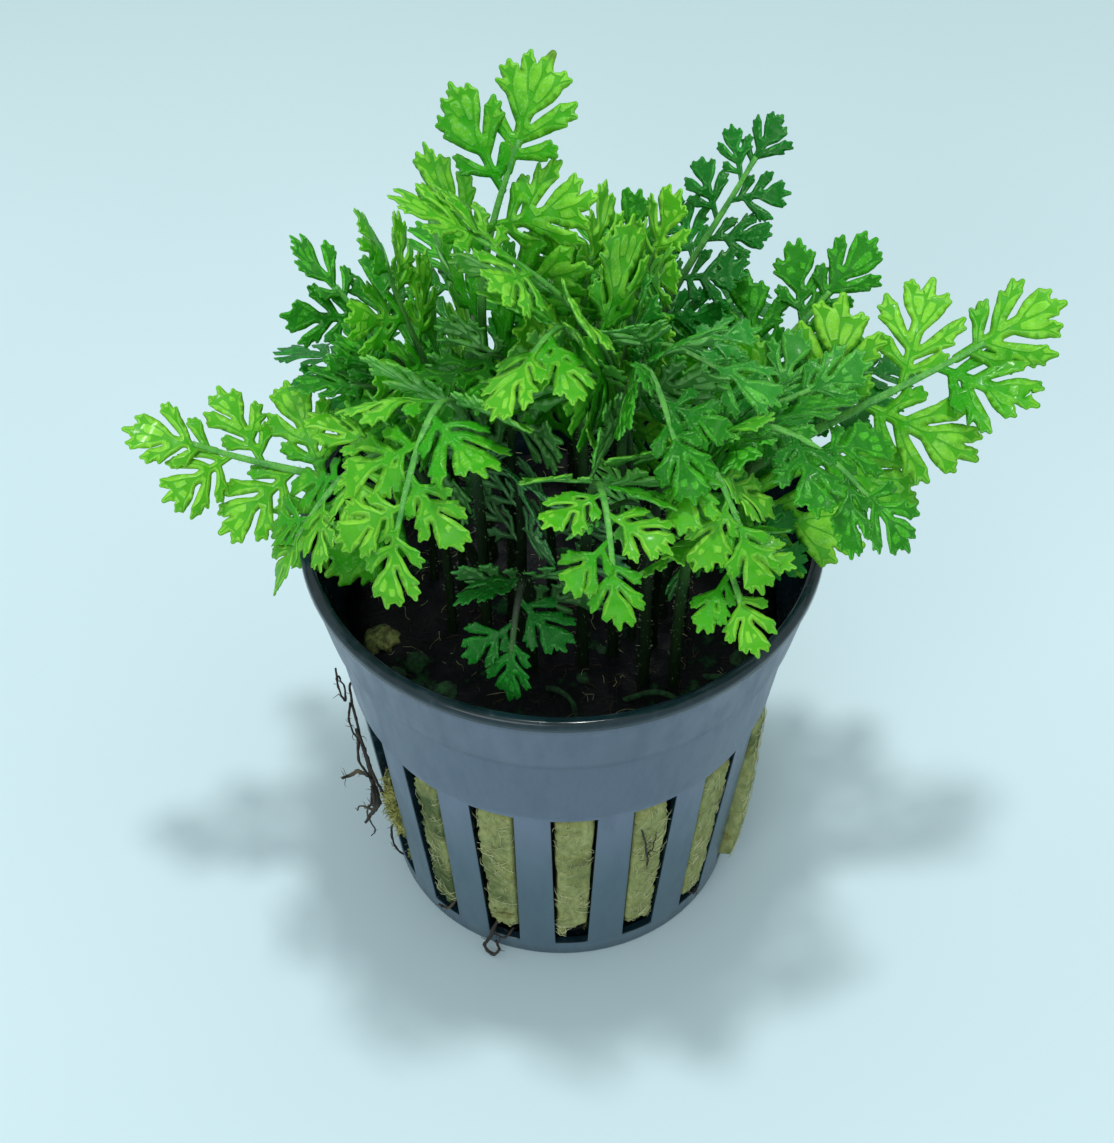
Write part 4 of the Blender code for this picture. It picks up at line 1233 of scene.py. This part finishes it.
def capsule_field(x, y, start, end, wide, narrow):
    """The distance outside a stroke whose half width goes from wide to narrow along it."""
    ax, ay = start
    dx, dy = end[0] - ax, end[1] - ay
    share = np.clip(((x - ax) * dx + (y - ay) * dy) / (dx * dx + dy * dy), 0, 1)
    return np.hypot(x - ax - share * dx, y - ay - share * dy) - (wide + (narrow - wide) * share)


def melted(first, second, reach):
    """The two distances' smaller one, with a fillet where they meet."""
    share = np.clip(0.5 + 0.5 * (second - first) / reach, 0, 1)
    return second + (first - second) * share - reach * share * (1 - share)


def bowed(start, end, bend, count):
    """A bent line of points, bowed to its left by a share of its length."""
    start, end = np.asarray(start, float), np.asarray(end, float)
    way = end - start
    left = np.array([-way[1], way[0]])
    share = np.linspace(0, 1, count)[:, None]
    return start + way * share + left * bend * np.sin(math.pi * share)


def lobe(start, end, bend, widths, count):
    """A lobe's line of points and its half widths."""
    return bowed(start, end, bend, count), np.interp(np.linspace(0, 1, count), *zip(*widths))


def lobe_finger(rng, line, side, finger, size):
    """A stroke that leaves a lobe's line forwards and to one side."""
    share, turn, reach = finger
    place = (share + rng.uniform(-0.05, 0.05)) * (len(line) - 1)
    step = min(int(place), len(line) - 2)
    start = line[step] + (line[step + 1] - line[step]) * (place - step)
    way = unit(line[step + 1] - line[step])
    across = np.array([-way[1], way[0]]) * side
    turn *= rng.uniform(0.85, 1.2)
    end = start + (way * math.cos(turn) + across * math.sin(turn)) * reach * size * rng.uniform(0.88, 1.12)
    return lobe(start, end, -side * 0.06, FINGER_WIDTHS, 4)


def leaflet_strokes(rng, lobes, width=1.0):
    """A leaflet's strokes, lines of points with half widths: the middle lobe, the others, then fingers."""
    middle, widths = lobe((0.0, 0.0), (0.97, 0.0), rng.normal(0, 0.015), MIDDLE_WIDTHS, 11)
    strokes = [(middle, widths)]
    spread = rng.uniform(0.85, 1.2)
    for side, finger in TIP_FINGERS:
        strokes.append(lobe_finger(rng, middle, side, finger, 1.0))
    for side, leave, run, off in (*SIDE_LOBES, *LOWER_LOBES[:lobes]):
        lower = run < 0.6
        start = middle[-1] * (leave + rng.uniform(-0.03, 0.03))
        end = (run + rng.uniform(-0.04, 0.04), side * off * spread * rng.uniform(0.92, 1.1))
        shape = LOWER_WIDTHS if lower else SIDE_WIDTHS
        line, widths = lobe(start, end, side * rng.uniform(0.02, 0.08), shape, 7)
        strokes.append((line, widths))
        upper = off < 0.2
        size = 0.8 if lower or upper else 1.0
        for finger in (MID_FINGER,) if upper else (WIDE_FINGER, MID_FINGER):
            strokes.append(lobe_finger(rng, line, side, finger, size))
        strokes.append(lobe_finger(rng, line, -side, NEAR_FINGER, size))
    return [(line, halves * width) for line, halves in strokes]


def leaflet_field(strokes, x, y):
    """The signed distance to the leaflet's margin and the distance to its nearest vein."""
    margin = np.full(x.shape, 9.0)
    vein = np.full(x.shape, 9.0)
    for line, halves in strokes:
        own = np.full(x.shape, 9.0)
        for k in range(len(line) - 1):
            part = capsule_field(x, y, line[k], line[k + 1], halves[k], halves[k + 1])
            own = np.minimum(own, part)
            vein = np.minimum(vein, capsule_field(x, y, line[k], line[k + 1], 0.0, 0.0))
        margin = melted(margin, own, 0.012)
    return margin, vein


def outline_segments(field, xs, ys):
    """The zero line of a field on a grid, as points and the segments that join them."""
    inside = field < 0
    points, index, segments = [], {}, []

    def crossing(i, j, k, l):
        key = (i, j, k, l)
        if key not in index:
            a, b = field[i, j], field[k, l]
            share = min(0.96, max(0.04, a / (a - b)))
            index[key] = len(points)
            points.append((xs[i] + (xs[k] - xs[i]) * share, ys[j] + (ys[l] - ys[j]) * share))
        return index[key]

    mixed = inside[:-1, :-1].astype(int) + inside[1:, :-1] + inside[:-1, 1:] + inside[1:, 1:]
    for i, j in np.argwhere((mixed > 0) & (mixed < 4)):
        ring = ((i, j), (i + 1, j), (i + 1, j + 1), (i, j + 1))
        crossed = []
        for a, b in zip(ring, ring[1:] + ring[:1]):
            if inside[a] != inside[b]:
                low, high = (a, b) if a < b else (b, a)
                crossed.append(crossing(*low, *high))
        for first, second in zip(crossed[::2], crossed[1::2]):
            if first != second:
                segments.append((first, second))
    return points, segments


def blade_mesh(rng, size, lobes, width):
    """A flat leaflet: points as shares of its length, triangles, and distances to veins and margin."""
    strokes = leaflet_strokes(rng, lobes, width)
    step = FIELD_STEP / size
    xs, ys = np.arange(-0.08, 1.16, step), np.arange(-0.46, 0.46, step)
    grid_x, grid_y = np.meshgrid(xs, ys, indexing="ij")
    field, _ = leaflet_field(strokes, grid_x, grid_y)
    points, edges = outline_segments(field, xs, ys)
    for line, _ in strokes:
        for start, end in zip(line[:-1], line[1:]):
            count = max(1, round(np.linalg.norm(end - start) * size / VEIN_STEP))
            first = len(points)
            points += [tuple(start + (end - start) * k / count) for k in range(count + 1)]
            edges += [(first + k, first + k + 1) for k in range(count)]
    grain_step = BLADE_GRAIN / size
    for row, y in enumerate(np.arange(-0.45, 0.45, grain_step * 0.87)):
        for x in np.arange(-0.05 + (row % 2) * grain_step / 2, 1.12, grain_step):
            points.append((x, y))
    spots = np.array(points)
    margin, vein = leaflet_field(strokes, spots[:, 0], spots[:, 1])
    fixed = max(max(edge) for edge in edges) + 1
    keep = np.ones(len(spots), bool)
    keep[fixed:] = (margin[fixed:] < -0.22 / size) & (vein[fixed:] > 0.2 / size)
    spots = spots[keep]
    made = geometry.delaunay_2d_cdt([Vector(p) for p in spots], edges, [], 0, 1e-6)
    flat = np.array([tuple(p) for p in made[0]])
    triangles = np.array(made[2])
    centres = flat[triangles].mean(axis=1)
    outside, _ = leaflet_field(strokes, centres[:, 0], centres[:, 1])
    triangles = triangles[outside < 0.0]
    used = np.unique(triangles)
    number = np.full(len(flat), -1)
    number[used] = np.arange(len(used))
    flat, triangles = flat[used], number[triangles]
    margin, vein = leaflet_field(strokes, flat[:, 0], flat[:, 1])
    corners = flat[triangles]
    first, second = corners[:, 1] - corners[:, 0], corners[:, 2] - corners[:, 0]
    turned = first[:, 0] * second[:, 1] - first[:, 1] * second[:, 0] < 0
    triangles[turned] = triangles[turned][:, ::-1]
    return flat, triangles, np.maximum(0, -margin * size), vein * size


def rim_points(triangles, count):
    """True for each point on the open edge of a sheet of triangles."""
    pairs = np.concatenate([triangles[:, [0, 1]], triangles[:, [1, 2]], triangles[:, [2, 0]]])
    unique, uses = np.unique(np.sort(pairs, axis=1), axis=0, return_counts=True)
    on_rim = np.zeros(count, bool)
    on_rim[unique[uses == 1].ravel()] = True
    return on_rim


def add_leaflet(mould, rng, held, settings, lobes, tone, width):
    """One leaflet with two faces that meet at its margin, gutters along its veins and a free curl."""
    flat, triangles, edge, vein = blade_mesh(rng, held.length, lobes, width)
    run, off = flat[:, 0], flat[:, 1]
    on_rim = rim_points(triangles, len(flat))
    cup = rng.uniform(-0.5, 0.9)
    twist = rng.normal(0, 0.16)
    tip_bend = rng.uniform(-0.10, 0.22)
    rise = held.length * (twist * run * off - cup * off * off - tip_bend * np.maximum(0, run - 0.55) ** 2)
    rise += 0.13 * (1 - np.exp(-((vein / 0.42) ** 2)))
    layer = held.origin[2] + held.origin[0]
    wave = np.array([noise.noise(Vector((x, y, layer))) for x, y in flat * held.length / 2.2])
    rise += 0.34 * wave * np.minimum(1, run * 3)
    half = settings.thickness / MM / 2
    depth = half * np.sqrt(np.clip(edge / 0.22, 0, 1))
    depth[on_rim] = 0
    sunk = np.exp(-((vein / 0.16) ** 2)) * np.clip(edge / 0.2, 0, 1)
    upper = on_leaflet(held, run, off, rise + depth - 0.04 * sunk)
    lower = on_leaflet(held, run, off, rise - depth - 0.07 * sunk)
    inner = np.flatnonzero(~on_rim)
    number = np.arange(len(flat))
    number[inner] = len(flat) + np.arange(len(inner))
    points = np.concatenate([upper, lower[inner]])
    faces = np.concatenate([triangles, number[triangles][:, ::-1]])
    both = np.concatenate([np.arange(len(flat)), inner])
    under = np.concatenate([np.zeros(len(flat)), np.ones(len(inner))])
    values = {"vein_mm": vein[both], "edge_mm": edge[both], "run": run[both], "tone": tone, "under": under}
    mould.add(points, faces, BLADE, **values)


def add_stalk(mould, midrib, end, rng, settings):
    """The grooved stalk and midrib, with its foot in the wool, and its fine hairs."""
    distances = np.concatenate([[0.0], np.arange(0.6, end, 0.7), [end]])
    course = [midrib.place(0.0) - UP * 2.4, midrib.place(0.0) - UP * 1.0]
    course += [midrib.at(d)[0] for d in distances]
    late = np.clip(np.concatenate([[0, 0], distances]) / midrib.length, 0, 1)
    taper = 0.9 - 0.5 * np.clip((late - 0.4) / 0.6, 0, 1)
    radii = (STALK_WIDTH + (MIDRIB_WIDTH - STALK_WIDTH) * late) / 2 * taper
    radii[:2] *= (1.25, 1.15)
    points, faces = tube(course, radii, 12, 0.82, midrib.at(0.5)[3], 0.35)
    mould.add(points, faces, STALK)
    reach = settings.hair_length / MM
    for _ in range(int(4 * end)):
        distance = rng.uniform(0, end)
        point, along, across, upper = midrib.at(distance)
        turn = rng.uniform(0, 2 * math.pi)
        out = across * math.cos(turn) + upper * math.sin(turn)
        radius = np.interp(distance, distances, radii[2:])
        start = point + out * radius * 0.85
        way = unit(out + along * rng.normal(0.3, 0.4))
        tip = start + unit(way + along * 0.4) * reach * rng.uniform(0.6, 1.1)
        hair = np.array([start, start + way * reach * 0.5, tip])
        mould.add(*tube(hair, (0.02, 0.016, 0.006), 3), HAIR)


def build_frond(frond, index, materials, settings):
    """One frond over its solid: the stalk, then each leaflet in the stance that the solid's took."""
    rng = np.random.default_rng(100 + index)
    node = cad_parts[frond.name]
    corners = kdtree.KDTree(len(node.data.vertices))
    for i, vert in enumerate(node.data.vertices):
        corners.insert(vert.co / MM, i)
    corners.balance()
    midrib = Midrib(frond)
    spacing = LEAFLET_PITCH * frond.length
    end_length = END_LEAFLET * frond.length
    blade_start = max(midrib.length - spacing * frond.leaflets - end_length, SHORTEST_STALK)
    mould = Mould()
    add_stalk(mould, midrib, midrib.length - end_length * 0.7, rng, settings)
    missing = 0
    for k in range(frond.leaflets + 1):
        if k < frond.leaflets:
            share = k / max(1, frond.leaflets - 1)
            side = 1 if (k + index) % 2 else -1
            angle = LOWEST_ANGLE + (HIGHEST_ANGLE - LOWEST_ANGLE) * share
            lift = LIFT_SWING * math.sin(LIFT_PHASE * k + FROND_LIFT_PHASE * index)
            size = frond.length * (1 - LEAFLET_TAPER * share**LEAFLET_TAPER_POWER)
            distance = blade_start + spacing * (k + 0.5)
        else:
            share, side, angle, lift, size = 1.0, 1, 0, 0, end_length
            distance = midrib.length - end_length
        held, gap = settled(midrib, distance, side, angle, lift, size, corners)
        if gap > ON_SOLID:
            missing += 1
            held = stance(midrib, distance, side, angle, lift, 0.55 * size)
        lobes = 2 if size > 6.2 else 1 if size > 4.6 else 0
        held = held._replace(length=held.length * LEAFLET_SWELL)
        tone = min(1.0, 0.3 * share + rng.uniform(-0.2, 0.7))
        add_leaflet(mould, rng, held, settings, lobes, tone, FEATHERY.get(frond.name, 1.0))
    piece = mould.make(frond.name + "_detail", materials)
    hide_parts(frond.name)
    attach(piece, "root")
    return missing


class FERN_OT_fronds(bpy.types.Operator):
    """Builds every frond: hairy stalk, midrib and toothed, veined leaflets"""

    bl_idname = "fern.fronds"
    bl_label = "Fronds"

    def execute(self, context):
        settings = context.scene.fern_fronds
        stalk = juicy_stalk(settings)
        hair = plain_fibre("stalk_hair", linear("#4c7a3e"), settings.hair, 0.6, 2.0)
        tones = {
            "bright": leaf_blade("young_leaf_blade", settings.bright, linear("#2c9a0a"), settings),
            "mid": leaf_blade("grown_leaf_blade", settings.mid, linear("#08680c"), settings),
            # The dark tone goes to fronds low down and at the back: old blades, with painted shade in their
            # darker colour.
            "dark": leaf_blade("old_and_shaded_leaf_blade", linear("#1e942a"), settings.dark, settings),
            # The silvery, teal and pale blades get more of the painted highlight specks and streaks.
            "silvery": leaf_blade("downy_leaf_blade", linear("#5cbc40"), linear("#0f7a20"), settings, 0.55),
            "teal": leaf_blade("shaded_leaf_blade", linear("#3f9c62"), linear("#125c38"), settings, 0.5),
            "pale": leaf_blade("pale_leaf_blade", linear("#a6ea84"), linear("#5cc844"), settings, 0.5),
        }
        missing = 0
        for index, frond in enumerate(FRONDS):
            blade = tones[LOOKS.get(frond.name, frond.tone)]
            missing += build_frond(frond, index, [blade, stalk, hair], settings)
        print("leaflets with no solid of their own:", missing)
        return {"FINISHED"}


def add_lamp(name, place, aim, size, power, tint):
    data = bpy.data.lights.new(name, "AREA")
    data.shape = "DISK"
    data.size = size
    data.energy = power
    data.color = tint
    lamp = bpy.data.objects.new(name, data)
    lamp.location = place
    lamp.rotation_euler = (Vector(aim) - Vector(place)).to_track_quat("-Z", "Y").to_euler()
    bpy.context.scene.collection.objects.link(lamp)


class FERN_OT_stage(bpy.types.Operator):
    """Sets the pale floor, the soft light and the camera"""

    bl_idname = "fern.stage"
    bl_label = "Stage"

    def execute(self, context):
        settings = context.scene.fern_stage
        mesh = bpy.data.meshes.new("floor")
        span = 3.0
        corners = [(-span, -span, 0), (span, -span, 0), (span, span, 0), (-span, span, 0)]
        mesh.from_pydata(corners, [], [(0, 1, 2, 3)])
        mesh.materials.append(painted_floor(settings))
        floor = bpy.data.objects.new("floor", mesh)
        context.scene.collection.objects.link(floor)

        world = bpy.data.worlds.new("soft_room")
        world.use_nodes = True
        world.node_tree.nodes.clear()
        output = add_node(world.node_tree, "ShaderNodeOutputWorld")
        sky = add_node(world.node_tree, "ShaderNodeBackground", {"Color": settings.sky, "Strength": 0.95})
        world.node_tree.links.new(sky.outputs[0], output.inputs["Surface"])
        context.scene.world = world

        add_lamp("ceiling_lamp", (0.02, 0.03, 0.85), (0, 0, 0.04), 0.08, 4.3, (1.0, 1.0, 0.96))
        add_lamp("front_fill", (-0.35, -0.75, 0.55), (0, 0, 0.05), 0.6, 3.0, (1.0, 1.0, 1.0))

        data = bpy.data.cameras.new("photo_camera")
        data.sensor_fit = "VERTICAL"
        data.sensor_height = data.sensor_width = 36.0
        data.lens = 82.25
        data.clip_start = 0.01
        data.dof.use_dof = False
        camera = bpy.data.objects.new("photo_camera", data)
        back = Vector((0, -math.cos(settings.elevation), math.sin(settings.elevation)))
        right = Vector((1, 0, 0))
        above = back.cross(right)
        turn = Matrix((right, above, back)).transposed().to_4x4()
        target = Vector((-0.00052, -0.00442, 0.04588))
        camera.matrix_world = Matrix.Translation(target + back * settings.distance) @ turn
        context.scene.collection.objects.link(camera)
        context.scene.camera = camera
        context.scene.view_settings.view_transform = "Standard"
        return {"FINISHED"}


class FERN_PT_panel(bpy.types.Panel):
    """Lists the plant's pieces and their settings"""

    bl_idname = "FERN_PT_panel"
    bl_label = "Potted Water Fern"
    bl_space_type = "VIEW_3D"
    bl_region_type = "UI"
    bl_category = "Water Fern"

    def draw(self, context):
        for operator, (group, kind) in zip(OPERATORS, GROUPS.items()):
            column = self.layout.column(align=True)
            column.operator(operator.bl_idname)
            for name in kind.__annotations__:
                column.prop(getattr(context.scene, group), name)


GROUPS = {
    "fern_pot": PotProperties,
    "fern_wool": WoolProperties,
    "fern_roots": RootProperties,
    "fern_fronds": FrondProperties,
    "fern_stage": StageProperties,
}
OPERATORS = (FERN_OT_pot, FERN_OT_rock_wool, FERN_OT_roots, FERN_OT_fronds, FERN_OT_stage)


def register():
    for kind in (*GROUPS.values(), *OPERATORS, FERN_PT_panel):
        bpy.utils.register_class(kind)
    for name, kind in GROUPS.items():
        setattr(bpy.types.Scene, name, bpy.props.PointerProperty(type=kind))


def unregister():
    for name in GROUPS:
        delattr(bpy.types.Scene, name)
    for kind in (FERN_PT_panel, *reversed(OPERATORS), *reversed(GROUPS.values())):
        bpy.utils.unregister_class(kind)


def main():
    register()
    bpy.ops.fern.pot()
    bpy.ops.fern.rock_wool()
    bpy.ops.fern.roots()
    bpy.ops.fern.fronds()
    bpy.ops.fern.stage()
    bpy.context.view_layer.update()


if __name__ == "__main__":
    main()
